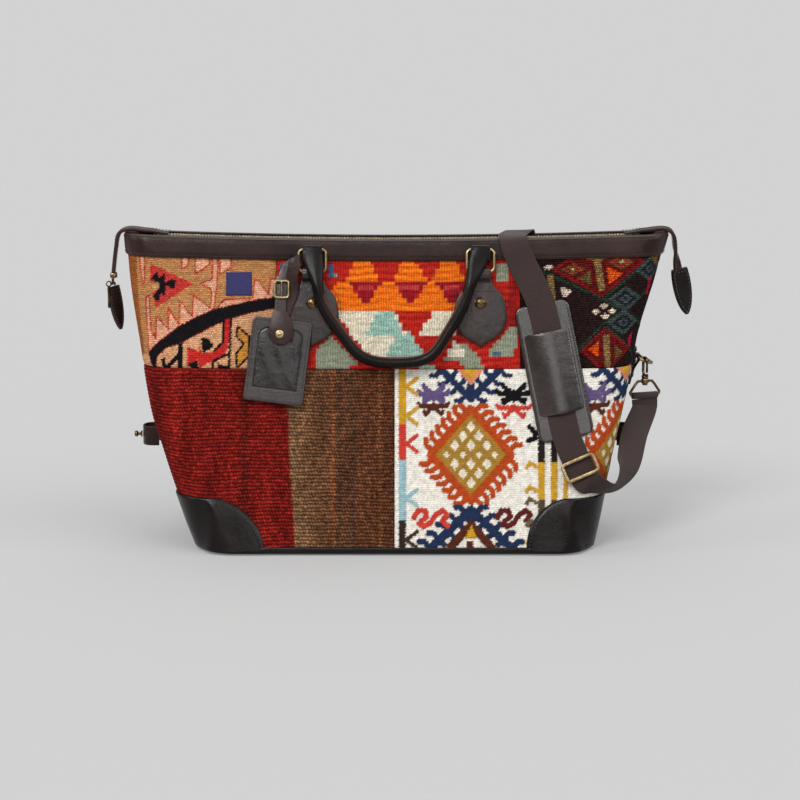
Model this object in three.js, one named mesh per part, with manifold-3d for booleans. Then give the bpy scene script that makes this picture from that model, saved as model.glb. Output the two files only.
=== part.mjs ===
// Weekender bag of kilim patchwork with leather trim, a zip top, two rolled handles and a clipped-on strap.
// Millimetres, +Z up, front towards -Y, origin on the floor under the middle of the base.
import * as THREE from "three";
import { mergeVertices } from "three/addons/utils/BufferGeometryUtils.js";
import Module from "manifold-3d";

const { sin, cos, abs, max, min, sqrt, sign, atan, atan2, round, hypot, PI } = Math;
const wasm = await Module();
wasm.setup();

// Driving sizes of the body
const TOP_LENGTH = 560;
const TOP_DEPTH = 58;
const BASE_LENGTH = 422;
const BASE_DEPTH = 208;
const HEIGHT = 320;
const TOP_SAG = 6;
const SLOUCH = 10;
const END_BULGE = 3;
const END_TUCK = 18;
const TUCK_FROM = 112;
const TUCK_TO = 290;
const BASE_CORNER = 45;
const TOP_CORNER = 27;

// Cloth and leather
const GAP = 0.3;
const KILIM = 3;
const RELIEF = 0.8;
const RIB_PITCH = 11;
const LINING = 1;
const LINING_EASE = 1.6;
const LEATHER = 2;
const BASE_THICK = 3;
const BOARD_THICK = 3;
const BAND_HEIGHT = 21;
const LIP_REACH = 12;
const STRIP_WIDTH = 30;
const PATCH_HEIGHT = 58;
const PATCH_REACH = 56;

// Where the patchwork is seamed
const ROW_SEAM = 187;
const LEFT_SEAM = -123;
const RIGHT_SEAM = 127;
const LOWER_SEAM = -2;

// Handles and their fittings
const HANDLE_SPREAD = 172;
const HANDLE_DROP = 119;
const HANDLE_THICK = 11;
const RING_LEVEL = 304;
const RING_WIDTH = 31;
const RING_HEIGHT = 26;
const RING_WIRE = 3.4;
const RING_STAND = 7.6;
const TAB_WIDTH = 54;
const TAB_NECK = 37;
const TAB_LENGTH = 62;
const STUD_WIDTH = 12;

// Zip
const TEETH = 25;
const CHAIN_WIDTH = 6;
const TAIL_WIDTH = 20;
const TAIL_THICK = 4;
const LEAF_LENGTH = 46;
const LEAF_WIDTH = 19;

// Strap and its fittings
const WEBBING = 29;
const WEBBING_THICK = 1.8;
const PAD_LENGTH = 138;
const PAD_WIDTH = 57;
const PAD_COVER = 82;
const STRAP_FOOT = [187, 88];
const PAD_FOOT = [174, 118];
const PAD_HEAD = [148, 250];
const STRAP_CREST = 119;
const STRAP_BACK = 134;
const D_LEVEL = 190;
const D_REACH = 16;
const D_WIDTH = 27;
const HOOK_EYE = 19;
const HOOK_WIDTH = 12;
const EYE_TURN = 0.35;

// Luggage tag and label
const TAG_WIDTH = 61;
const TAG_LENGTH = 86;
const TAG_TILT = 7;
const TAG_AT = [-121, 193];
const TAG_STRAP = 12;

// Colours and finishes
const finish = (color, roughness, metalness = 0) => ({ color, roughness, metalness });
const DARK_LEATHER = finish(0x3a302c, 0.5);
const BLACK_LEATHER = finish(0x2b2523, 0.5);
const EDGE_LEATHER = finish(0x54382c, 0.6);
const BRASS = finish(0x9c7a3e, 0.35, 1);
const CLOTH_LINING = finish(0x8a7a60, 0.9);
const WEB = finish(0x44362f, 0.85);

const bag = new THREE.Group();
bag.name = "kilim_weekender";

// A named piece from a closed geometry, turned to face out
function piece(parent, name, geometry, look) {
  const shape = mergeVertices(geometry.deleteAttribute("normal").deleteAttribute("uv"), 1e-4);
  const at = shape.getAttribute("position");
  const index = shape.getIndex().array;
  const kept = [];
  let volume = 0;
  const a = new THREE.Vector3();
  const b = new THREE.Vector3();
  const c = new THREE.Vector3();
  for (let i = 0; i < index.length; i += 3) {
    const [p, q, r] = [index[i], index[i + 1], index[i + 2]];
    if (p === q || q === r || r === p) continue;
    kept.push(p, q, r);
    a.fromBufferAttribute(at, p);
    b.fromBufferAttribute(at, q);
    c.fromBufferAttribute(at, r);
    volume += a.dot(b.cross(c));
  }
  shape.setIndex(volume < 0 ? kept.reverse() : kept);
  shape.computeVertexNormals();
  const mesh = new THREE.Mesh(shape, new THREE.MeshStandardMaterial(look));
  mesh.name = name;
  parent.add(mesh);
  return mesh;
}

// A geometry from corner points and triangles
function meshOf(points, triangles) {
  const geometry = new THREE.BufferGeometry();
  const flat = points.flatMap((p) => [p.x, p.y, p.z]);
  geometry.setAttribute("position", new THREE.Float32BufferAttribute(flat, 3));
  geometry.setIndex(triangles);
  return geometry;
}

// A sheet with thickness: at(i, v, layer) gives a point of the outer (0) or inner (1) face
function sheet(columns, rows, innerRows, at) {
  const points = [];
  const triangles = [];
  const outer = (i, j) => i * (rows + 1) + j;
  const start = (columns + 1) * (rows + 1);
  const inner = (i, j) => start + i * (innerRows + 1) + j;
  for (let i = 0; i <= columns; i += 1) {
    for (let j = 0; j <= rows; j += 1) points.push(at(i, j / rows, 0, j));
  }
  for (let i = 0; i <= columns; i += 1) {
    for (let j = 0; j <= innerRows; j += 1) points.push(at(i, j / innerRows, 1, j));
  }
  const quad = (a, b, c, d) => triangles.push(a, b, c, a, c, d);
  for (let i = 0; i < columns; i += 1) {
    for (let j = 0; j < rows; j += 1) {
      quad(outer(i, j), outer(i + 1, j), outer(i + 1, j + 1), outer(i, j + 1));
    }
    for (let j = 0; j < innerRows; j += 1) {
      quad(inner(i, j), inner(i, j + 1), inner(i + 1, j + 1), inner(i + 1, j));
    }
    quad(outer(i, 0), inner(i, 0), inner(i + 1, 0), outer(i + 1, 0));
    quad(outer(i, rows), outer(i + 1, rows), inner(i + 1, innerRows), inner(i, innerRows));
  }
  const step = rows / innerRows;
  for (let k = 0; k < innerRows; k += 1) {
    for (const [i, flip] of [[0, false], [columns, true]]) {
      const add = (a, b, c) => triangles.push(a, flip ? c : b, flip ? b : c);
      add(inner(i, k), outer(i, k * step), inner(i, k + 1));
      for (let j = k * step; j < (k + 1) * step; j += 1) {
        add(outer(i, j), outer(i, j + 1), inner(i, k + 1));
      }
    }
  }
  return meshOf(points, triangles);
}

// A skin over rings of equal count, capped at both ends or joined round
function loft(rings, round = false) {
  const count = rings[0].length;
  const points = rings.flat();
  const triangles = [];
  const turns = round ? rings.length : rings.length - 1;
  for (let i = 0; i < turns; i += 1) {
    const p = i * count;
    const q = ((i + 1) % rings.length) * count;
    for (let j = 0; j < count; j += 1) {
      const k = (j + 1) % count;
      triangles.push(p + j, p + k, q + k, p + j, q + k, q + j);
    }
  }
  if (!round) {
    const last = (rings.length - 1) * count;
    for (let j = 1; j < count - 1; j += 1) {
      triangles.push(0, j + 1, j, last, last + j, last + j + 1);
    }
  }
  return meshOf(points, triangles);
}

// Joining and cutting of closed bodies
function bodyOf(geometry) {
  const shape = mergeVertices(geometry.clone().deleteAttribute("normal").deleteAttribute("uv"), 1e-4);
  const solid = (triVerts) => {
    const vertProperties = new Float32Array(shape.getAttribute("position").array);
    return new wasm.Manifold(new wasm.Mesh({ numProp: 3, vertProperties, triVerts }));
  };
  const body = solid(new Uint32Array(shape.getIndex().array));
  return body.volume() > 0 ? body : solid(new Uint32Array(shape.getIndex().array).reverse());
}

function geometryOf(body) {
  const mesh = body.getMesh();
  const geometry = new THREE.BufferGeometry();
  geometry.setAttribute("position", new THREE.Float32BufferAttribute(mesh.vertProperties, 3));
  geometry.setIndex(Array.from(mesh.triVerts));
  return geometry;
}

const joined = (...parts) => geometryOf(parts.map(bodyOf).reduce((a, b) => a.add(b)));

// A plate from an outline in the XZ plane, from y = near to y = near + thick
function plate(shape, near, thick, curveSegments = 6) {
  const geometry = new THREE.ExtrudeGeometry(shape, { depth: thick, bevelEnabled: false, curveSegments });
  return geometry.rotateX(PI / 2).translate(0, near + thick, 0);
}

// A bar from an outline whose first axis is -Y and second is Z, centred on x
function barAlongX(shape, x, wide, curveSegments = 6) {
  const geometry = new THREE.ExtrudeGeometry(shape, { depth: wide, bevelEnabled: false, curveSegments });
  const turn = new THREE.Matrix4().makeBasis(
    new THREE.Vector3(0, -1, 0),
    new THREE.Vector3(0, 0, 1),
    new THREE.Vector3(-1, 0, 0),
  );
  return geometry.applyMatrix4(turn).translate(x + wide / 2, 0, 0);
}

// A bent wire that closes on itself, from points in a plane with the given unit normal
function wireLoop(points, normal, wire, sides = 5) {
  const rings = points.map((p, i) => {
    const next = points[(i + 1) % points.length];
    const last = points[(i + points.length - 1) % points.length];
    const along = next.clone().sub(last).normalize();
    const across = along.clone().cross(normal).normalize();
    return Array.from({ length: sides }, (_, k) => {
      const q = (2 * PI * (k + 0.5)) / sides;
      const side = across.clone().multiplyScalar((cos(q) * wire) / 2);
      return p.clone().add(side).addScaledVector(normal, (sin(q) * wire) / 2);
    });
  });
  return loft(rings, true);
}

// A rounded rectangle of points round the middle, in the plane of two unit directions
function roundedLoop(middle, one, two, wide, tall, corner, steps = 3) {
  const points = [];
  for (const [k, [i, j]] of [[1, 1], [-1, 1], [-1, -1], [1, -1]].entries()) {
    for (let n = 0; n <= steps; n += 1) {
      const q = (PI / 2) * (k + n / steps);
      const a = i * (wide / 2 - corner) + corner * cos(q);
      const b = j * (tall / 2 - corner) + corner * sin(q);
      points.push(middle.clone().addScaledVector(one, a).addScaledVector(two, b));
    }
  }
  return points;
}

// A flat strip along a hand-picked route of [point, facing] pairs
function ribbon(route, wide, thick, steps) {
  const path = new THREE.CatmullRomCurve3(route.map((r) => r[0]));
  const face = new THREE.CatmullRomCurve3(route.map((r) => r[1]));
  const rings = [];
  for (let i = 0; i <= steps; i += 1) {
    const t = i / steps;
    const p = path.getPoint(t);
    const along = path.getTangent(t);
    const across = along.clone().cross(face.getPoint(t)).normalize().multiplyScalar(wide / 2);
    const up = across.clone().cross(along).normalize().multiplyScalar(thick / 2);
    rings.push([
      p.clone().add(across).add(up),
      p.clone().sub(across).add(up),
      p.clone().sub(across).sub(up),
      p.clone().add(across).sub(up),
    ]);
  }
  return loft(rings);
}

// The bag's outer form: a rounded oblong that narrows in depth and widens towards the zip
const mix = THREE.MathUtils.lerp;
const level = (z) => z / HEIGHT;
const halfLength = (z) => mix(BASE_LENGTH, TOP_LENGTH, level(z)) / 2 + END_BULGE * sin(PI * level(z));
const halfDepth = (z) => mix(BASE_DEPTH, TOP_DEPTH, level(z)) / 2;
const cornerRadius = (z) => mix(BASE_CORNER, TOP_CORNER, level(z));
const slouch = (z) => SLOUCH * sin(PI * min(1, level(z)));
const tuckRun = (z) => THREE.MathUtils.clamp((z - TUCK_FROM) / (TUCK_TO - TUCK_FROM), 0, 1);
const tuck = (z) => END_TUCK * sin(PI * tuckRun(z)) ** 2;
const sag = (x, z) => TOP_SAG * max(0, 1 - (x / (TOP_LENGTH / 2)) ** 2) * level(z) ** 2;

// A point of the wall: m counts 0 to 1 along the face, to 2 round the corner and to 3 at the end seam.
// Behind its front corner the left end is tucked in, as the slack end of a zipped bag is
function wall(side, m, z, out) {
  const tucked = m < 0 ? tuck(z) : 0;
  const a = halfLength(z) - (side > 0 ? tucked : 0);
  const b = halfDepth(z);
  const r = cornerRadius(z);
  const n = abs(m);
  const turn = (PI / 2) * (n - 1);
  let x = n * (a - r);
  let y = b + out;
  if (n > 1) {
    x = a - r + (r + out) * sin(turn);
    y = b - r + (r + out) * cos(turn);
  }
  if (n > 2) {
    x = a + out - (side < 0 ? tucked * min(1, 3 * (n - 2)) : 0);
    y = (3 - n) * (b - r);
  }
  x = (sign(m) || 1) * x - slouch(z);
  return new THREE.Vector3(x, side * y, z - sag(x, z));
}

// The station of a given x on the flat face, and the last station before the end seam
const stationAt = (x) => (z) => (x + slouch(z)) / (halfLength(z) - cornerRadius(z));
const seamStation = (z) => 3 - GAP / 2 / (halfDepth(z) - cornerRadius(z));

// A true-height point on the front face
function onFront(x, height, out) {
  let z = height;
  for (let k = 0; k < 6; k += 1) z = height + sag(x, z);
  return new THREE.Vector3(x, -halfDepth(z) - out, height);
}

// A true-height point on an end, across the seam
function onEnd(end, y, z, out) {
  const straight = halfDepth(z) - cornerRadius(z);
  const past = min(max(0, abs(y) - straight), cornerRadius(z));
  const drop = cornerRadius(z) - sqrt(cornerRadius(z) ** 2 - past ** 2);
  const ahead = y < 0 ? THREE.MathUtils.clamp(3 + (3 * y) / straight, 0, 1) : 1;
  const inward = end < 0 ? tuck(z) * ahead : 0;
  return new THREE.Vector3(end * (halfLength(z) - drop - inward + out) - slouch(z), y, z);
}

// Kilim panels. Stations run from one seam to the next, and the motifs stand up from the ground weave
function kilimPanel(name, side, low, high, stations, rows, color, motif, innerRows = rows / 4) {
  const at = (i, v, layer, j) => {
    const z = mix(low, high, v);
    const m = typeof stations[i] === "number" ? stations[i] : stations[i](z);
    const p = wall(side, m, z, layer ? -KILIM : 0);
    const inside = i > 0 && i < stations.length - 1 && v > 0 && v < 1 && abs(m) < 0.99;
    const byCorner = z < PATCH_HEIGHT + 12 && abs(p.x) > BASE_LENGTH / 2 - PATCH_REACH - 40;
    const byBand = z > HEIGHT - BAND_HEIGHT - 9;
    if (!layer && inside && !byCorner && !byBand) p.y += side * RELIEF * motif(p.x, p.z, j);
    return p;
  };
  return piece(bag, name, sheet(stations.length - 1, rows, innerRows, at), finish(color, 0.9));
}

const across = (from, to, count) =>
  Array.from({ length: count + 1 }, (_, i) => (z) => mix(from(z), to(z), i / count));
const edgeOf = (m) => () => m;
const leftEnd = [(z) => -seamStation(z), -2.34, -2, -1.75, -1.5, -1.25];
const rightEnd = leftEnd.map((m) => (z) => -(typeof m === "number" ? m : m(z))).reverse();
const seamLow = ROW_SEAM - GAP / 2;
const seamHigh = ROW_SEAM + GAP / 2;
const panelFoot = BASE_THICK + GAP;
const panelHead = HEIGHT - LEATHER - 2 * GAP;

const triangleWave = (x, pitch) => abs((((x / pitch) % 1) + 1.5) % 1 - 0.5) * 2;
const diamond = (x, z, cx, cz, w, h) => abs(x - cx) / w + abs(z - cz) / h;
const bandOf = (value, from, to) => (value > from && value < to ? 1 : 0);

// Leaf and arched band
const archMotif = (x, z) => {
  const arch = 258 - 40 * ((x - LEFT_SEAM) / 120) ** 2;
  const leaf = diamond(x, z, -262, 278, 52, 26);
  return max(bandOf(z - arch, -14, 3), bandOf(leaf, 0.4, 1));
};
// Stepped triangles over stepped fields
const steppedMotif = (x, z) => {
  const step = round(triangleWave(x + 35, 46) * 4) / 4;
  const peak = z > 250 ? bandOf(z - 250, -1, 46 * (1 - step)) : 0;
  return max(peak, bandOf(diamond(x, z, -5, 222, 70, 30), 0.35, 0.75));
};
// Two large lozenges
const lozengeMotif = (x, z) => {
  const upper = diamond(x, z, 206, 283, 48, 23);
  const lower = diamond(x, z, 214, 212, 50, 23);
  return max(bandOf(upper, 0.45, 1), bandOf(lower, 0.45, 1));
};
// Hooked medallion between two bars
const medallionMotif = (x, z) => {
  const centre = diamond(x, z, 75, 101, 56, 56);
  const bars = max(bandOf(abs(x - 8), -1, 6), bandOf(abs(x - 160), -1, 8));
  return max(bars, bandOf(centre, 0, 0.66), bandOf(centre, 0.84, 1));
};

const upperLeft = [...leftEnd, ...across(edgeOf(-1), stationAt(LEFT_SEAM - GAP / 2), 9)];
kilimPanel("front_upper_left_kilim", -1, seamHigh, panelHead, upperLeft, 12, 0xb0885c, archMotif, 6);

const upperCentre = across(stationAt(LEFT_SEAM + GAP / 2), stationAt(RIGHT_SEAM - GAP / 2), 20);
kilimPanel("front_upper_centre_kilim", -1, seamHigh, panelHead, upperCentre, 12, 0xd2602a, steppedMotif);

const upperRight = [...across(stationAt(RIGHT_SEAM + GAP / 2), edgeOf(1), 9), ...rightEnd];
kilimPanel("front_upper_right_kilim", -1, seamHigh, panelHead, upperRight, 12, 0x3a2620, lozengeMotif);

const ribRows = 8 * round((seamLow - panelFoot) / RIB_PITCH / 4);
const lowerLeft = [...leftEnd, ...across(edgeOf(-1), stationAt(LOWER_SEAM - GAP / 2), 5)];
const ribs = (x, z, j) => j % 2;
kilimPanel("front_lower_left_kilim", -1, panelFoot, seamLow, lowerLeft, ribRows, 0x8a2a1e, ribs);

const lowerRight = [...across(stationAt(LOWER_SEAM + GAP / 2), edgeOf(1), 14), ...rightEnd];
kilimPanel("front_lower_right_kilim", -1, panelFoot, seamLow, lowerRight, 12, 0xe4dccf, medallionMotif);

const plain = () => 0;
const backRow = [...leftEnd, ...across(edgeOf(-1), edgeOf(1), 8), ...rightEnd];
const backLowerRow = [...leftEnd, ...across(edgeOf(-1), edgeOf(1), 4), ...rightEnd];
kilimPanel("back_upper_kilim", 1, seamHigh, panelHead, backRow, 8, 0x8a2a1e, plain, 4);
kilimPanel("back_lower_kilim", 1, panelFoot, seamLow, backLowerRow, 8, 0x6e4a30, plain, 4);

// Base of leather, with the stiffening board that lies on it
function oblong(long, deep, corner) {
  const shape = new THREE.Shape();
  const x = long / 2 - corner;
  const y = deep / 2 - corner;
  shape.absarc(x, y, corner, 0, PI / 2);
  shape.absarc(-x, y, corner, PI / 2, PI);
  shape.absarc(-x, -y, corner, PI, 1.5 * PI);
  shape.absarc(x, -y, corner, 1.5 * PI, 2 * PI);
  return shape;
}
const slab = (shape, low, thick) =>
  new THREE.ExtrudeGeometry(shape, { depth: thick, bevelEnabled: false, curveSegments: 4 }).translate(0, 0, low);
const footLength = 2 * halfLength(panelFoot);
const footDepth = 2 * halfDepth(panelFoot);
piece(bag, "base_leather", slab(oblong(footLength, footDepth, BASE_CORNER), 0, BASE_THICK), BLACK_LEATHER);
const boardInset = 2 * (KILIM + LINING_EASE + LINING + 2);
const boardCorner = BASE_CORNER - boardInset / 2;
const board = oblong(footLength - boardInset, footDepth - boardInset, boardCorner);
piece(bag, "base_board", slab(board, panelFoot, BOARD_THICK), finish(0x8d7a5c, 0.9));

// Lining: a cloth pocket that hangs inside, open under the zip
function liningRing(z, out) {
  const stations = [0, 1, 1.25, 1.5, 1.75, 2];
  const ring = [];
  const straightWall = (side, m) => {
    const p = wall(-1, m, z, out);
    return p.set(m < -0.5 ? p.x + END_TUCK : p.x, -side * p.y, p.z);
  };
  const quarter = (side, end) => stations.map((m) => straightWall(side, end * (m || 1e-9)));
  ring.push(...quarter(-1, 1));
  ring.push(...quarter(1, 1).reverse());
  ring.push(...quarter(1, -1).slice(1));
  ring.push(...quarter(-1, -1).slice(1).reverse());
  return ring;
}
const liningOut = -KILIM - LINING_EASE;
const liningFoot = panelFoot + BOARD_THICK + GAP;
const liningHead = panelHead - 8;
const liningLevels = [liningFoot, HEIGHT / 2, liningHead];
const liningOuter = liningLevels.map((z) => liningRing(z, liningOut));
const liningInner = liningLevels.map((z) => liningRing(max(z, liningFoot + LINING), liningOut - LINING));
piece(bag, "lining", loft([...liningOuter, ...liningInner.reverse()]), CLOTH_LINING);

// Leather bands round the mouth, turned in at the top
function topBand(name, side) {
  const stations = [...leftEnd, ...across(edgeOf(-1), edgeOf(1), 10), ...rightEnd];
  const foot = HEIGHT - BAND_HEIGHT;
  const profile = [
    [GAP, foot],
    [GAP + LEATHER, foot],
    [GAP + LEATHER, HEIGHT - 1.2],
    [GAP + LEATHER - 1.2, HEIGHT],
    [-LIP_REACH, HEIGHT],
    [-LIP_REACH, HEIGHT - LEATHER],
    [GAP, HEIGHT - LEATHER],
  ];
  const rings = stations.map((m) =>
    profile.map(([out, z]) => wall(side, typeof m === "number" ? m : m(HEIGHT - 2), z, out)),
  );
  return piece(bag, name, bandLoft(rings, profile), DARK_LEATHER);
}

// A loft whose end caps follow a hollow-cornered profile
function bandLoft(rings, profile) {
  const flat = profile.map(([a, b]) => new THREE.Vector2(a, b));
  const faces = THREE.ShapeUtils.triangulateShape(flat, []);
  const geometry = loft(rings);
  const count = profile.length;
  const sides = Array.from(geometry.getIndex().array).slice(0, (rings.length - 1) * count * 6);
  const last = (rings.length - 1) * count;
  const wound = THREE.ShapeUtils.isClockWise(flat);
  for (const [a, b, c] of faces) {
    if (wound) sides.push(a, b, c, last + a, last + c, last + b);
    else sides.push(a, c, b, last + a, last + b, last + c);
  }
  geometry.setIndex(sides);
  return geometry;
}
topBand("front_top_band", -1);
topBand("back_top_band", 1);

// Leather patches over the four lower corners
function cornerPatch(name, side, end) {
  const reach = (z) => {
    const rise = min(1, z / PATCH_HEIGHT);
    const x = BASE_LENGTH / 2 - 22 - PATCH_REACH * sqrt(1 - rise ** 2.2);
    const flat = halfLength(z) - cornerRadius(z);
    const over = min(1, max(0, (x - flat) / cornerRadius(z)));
    return over > 0 ? 1 + Math.asin(over) / (PI / 2) : x / flat;
  };
  const fixed = [(z) => seamStation(z), () => 2.5, () => 2, () => 1.75, () => 1.5, () => 1.25];
  const stations = [...fixed, (z) => mix(1.25, reach(z), 0.4), (z) => mix(1.25, reach(z), 0.7), reach];
  const rows = 4;
  const at = (i, v, layer) => {
    const z = mix(panelFoot, PATCH_HEIGHT * 0.985, 1 - (1 - v) ** 1.5);
    const roll = i === stations.length - 1 || v === 1 ? 0.6 : 0;
    return wall(side, end * stations[i](z), z, layer ? GAP : GAP + LEATHER - roll);
  };
  piece(bag, name, sheet(stations.length - 1, rows, rows, at), BLACK_LEATHER);
}
cornerPatch("front_left_corner", -1, -1);
cornerPatch("front_right_corner", -1, 1);
cornerPatch("back_left_corner", 1, -1);
cornerPatch("back_right_corner", 1, 1);

// End trim: a strip over the seam, a cinch loop with its stud, and a chape that holds the D-ring
const stripOut = 0.7;
const stripFace = stripOut + LEATHER;
const clipPlaces = {};
function endTrim(name, end) {
  const low = PATCH_HEIGHT + 1;
  const high = D_LEVEL + 10;
  const strip = sheet(4, 8, 8, (i, v, layer) => {
    const y = mix(-STRIP_WIDTH / 2, STRIP_WIDTH / 2, i / 4);
    return onEnd(end, y, mix(low, high, v), layer ? stripOut : stripFace);
  });
  piece(bag, `${name}_seam_strip`, strip, BLACK_LEATHER);

  const loopLow = 97;
  const loopTall = 20;
  const loopReach = 17;
  const bulge = (i) => stripFace + GAP + loopReach * sqrt(sin((PI * i) / 12));
  const loop = sheet(12, 1, 1, (i, v, layer) => {
    const y = -cos((PI * i) / 12) * (layer ? STRIP_WIDTH / 2 - LEATHER : STRIP_WIDTH / 2);
    return onEnd(end, y, loopLow + loopTall * v, bulge(i) + (layer ? 0 : LEATHER));
  });
  piece(bag, `${name}_cinch_loop`, loop, DARK_LEATHER);
  const stud = new THREE.LatheGeometry(
    [[0, 0], [3.6, 0], [3.6, 1], [1.6, 2], [1.6, 4], [3.2, 5.2], [2.6, 8], [0, 8]].map(
      ([r, h]) => new THREE.Vector2(r, h),
    ),
    8,
  );
  const studAt = onEnd(end, 0, loopLow + loopTall / 2, stripFace + GAP + loopReach + LEATHER + GAP + 0.6);
  stud.rotateZ((-end * PI) / 2).translate(studAt.x, studAt.y, studAt.z);
  piece(bag, `${name}_cinch_stud`, stud, BRASS);

  const wire = 3.2;
  const hole = wire / 2 + GAP;
  const fold = hole + 1.7;
  const top = onEnd(end, 0, D_LEVEL, stripFace);
  const under = onEnd(end, 0, D_LEVEL - 30, stripFace);
  const lean = atan((abs(top.x + slouch(D_LEVEL)) - abs(under.x + slouch(D_LEVEL))) / 30);
  const fitting = new THREE.Group();
  fitting.position.copy(top);
  fitting.rotation.set(0, lean, end > 0 ? 0 : PI, "ZYX");
  bag.add(fitting);
  const shape = new THREE.Shape();
  const stand = GAP + 0.5;
  shape.moveTo(stand, -30);
  shape.lineTo(stand + LEATHER, -30);
  shape.lineTo(stand + 3.6, -7);
  shape.lineTo(stand + 2 * fold, -2);
  shape.absarc(stand + fold, 0, fold, 0, PI);
  const eye = new THREE.Path();
  eye.absarc(stand + fold, 0, hole, 0, 2 * PI);
  shape.holes.push(eye);
  const chape = new THREE.ExtrudeGeometry(shape, { depth: 16, bevelEnabled: false, curveSegments: 5 });
  chape.rotateX(PI / 2).translate(0, 8, 0);
  piece(fitting, `${name}_d_ring_chape`, chape, DARK_LEATHER);

  const tilt = end > 0 ? -0.18 : -1.1;
  const outward = new THREE.Vector3(cos(tilt), 0, sin(tilt));
  const sideways = new THREE.Vector3(0, 1, 0);
  const bar = new THREE.Vector3(stand + fold, 0, 0);
  const bow = [];
  for (let i = 0; i <= 8; i += 1) {
    const q = (PI * i) / 8;
    const y = (-cos(q) * D_WIDTH) / 2;
    bow.push(bar.clone().addScaledVector(outward, D_REACH * sin(q) ** 0.8).addScaledVector(sideways, y));
  }
  bow.push(bar.clone().addScaledVector(sideways, D_WIDTH / 6), bar.clone().addScaledVector(sideways, -D_WIDTH / 6));
  const normal = outward.clone().cross(sideways).normalize();
  fitting.updateMatrix();
  const wireWay = bow[2].clone().sub(bow[0]).transformDirection(fitting.matrix);
  clipPlaces[name] = { at: bow[1].clone().applyMatrix4(fitting.matrix), wireWay };
  piece(fitting, `${name}_d_ring`, wireLoop(bow, normal, wire), BRASS);
}
endTrim("left", -1);
endTrim("right", 1);

// Handle sets: shield tabs with their ring chapes, rings, dome studs and a rolled handle
function shieldShape() {
  const shape = new THREE.Shape();
  const neck = TAB_NECK / 2;
  const wide = TAB_WIDTH / 2;
  shape.moveTo(neck, 0);
  shape.quadraticCurveTo(wide - 4, -TAB_LENGTH * 0.3, wide, -TAB_LENGTH * 0.56);
  shape.quadraticCurveTo(wide - 4, -TAB_LENGTH * 0.8, 1.5, -TAB_LENGTH);
  shape.lineTo(-1.5, -TAB_LENGTH);
  shape.quadraticCurveTo(-wide + 4, -TAB_LENGTH * 0.8, -wide, -TAB_LENGTH * 0.56);
  shape.quadraticCurveTo(-wide + 4, -TAB_LENGTH * 0.3, -neck, 0);
  return shape;
}

const faceHigh = onFront(HANDLE_SPREAD / 2, RING_LEVEL, 0);
const faceLow = onFront(HANDLE_SPREAD / 2, RING_LEVEL - 90, 0);
const faceLean = atan2(faceHigh.y - faceLow.y, faceHigh.z - faceLow.z);
const tabStand = RELIEF + GAP + 0.2;
const tabFace = tabStand + LEATHER + 0.4;

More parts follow.
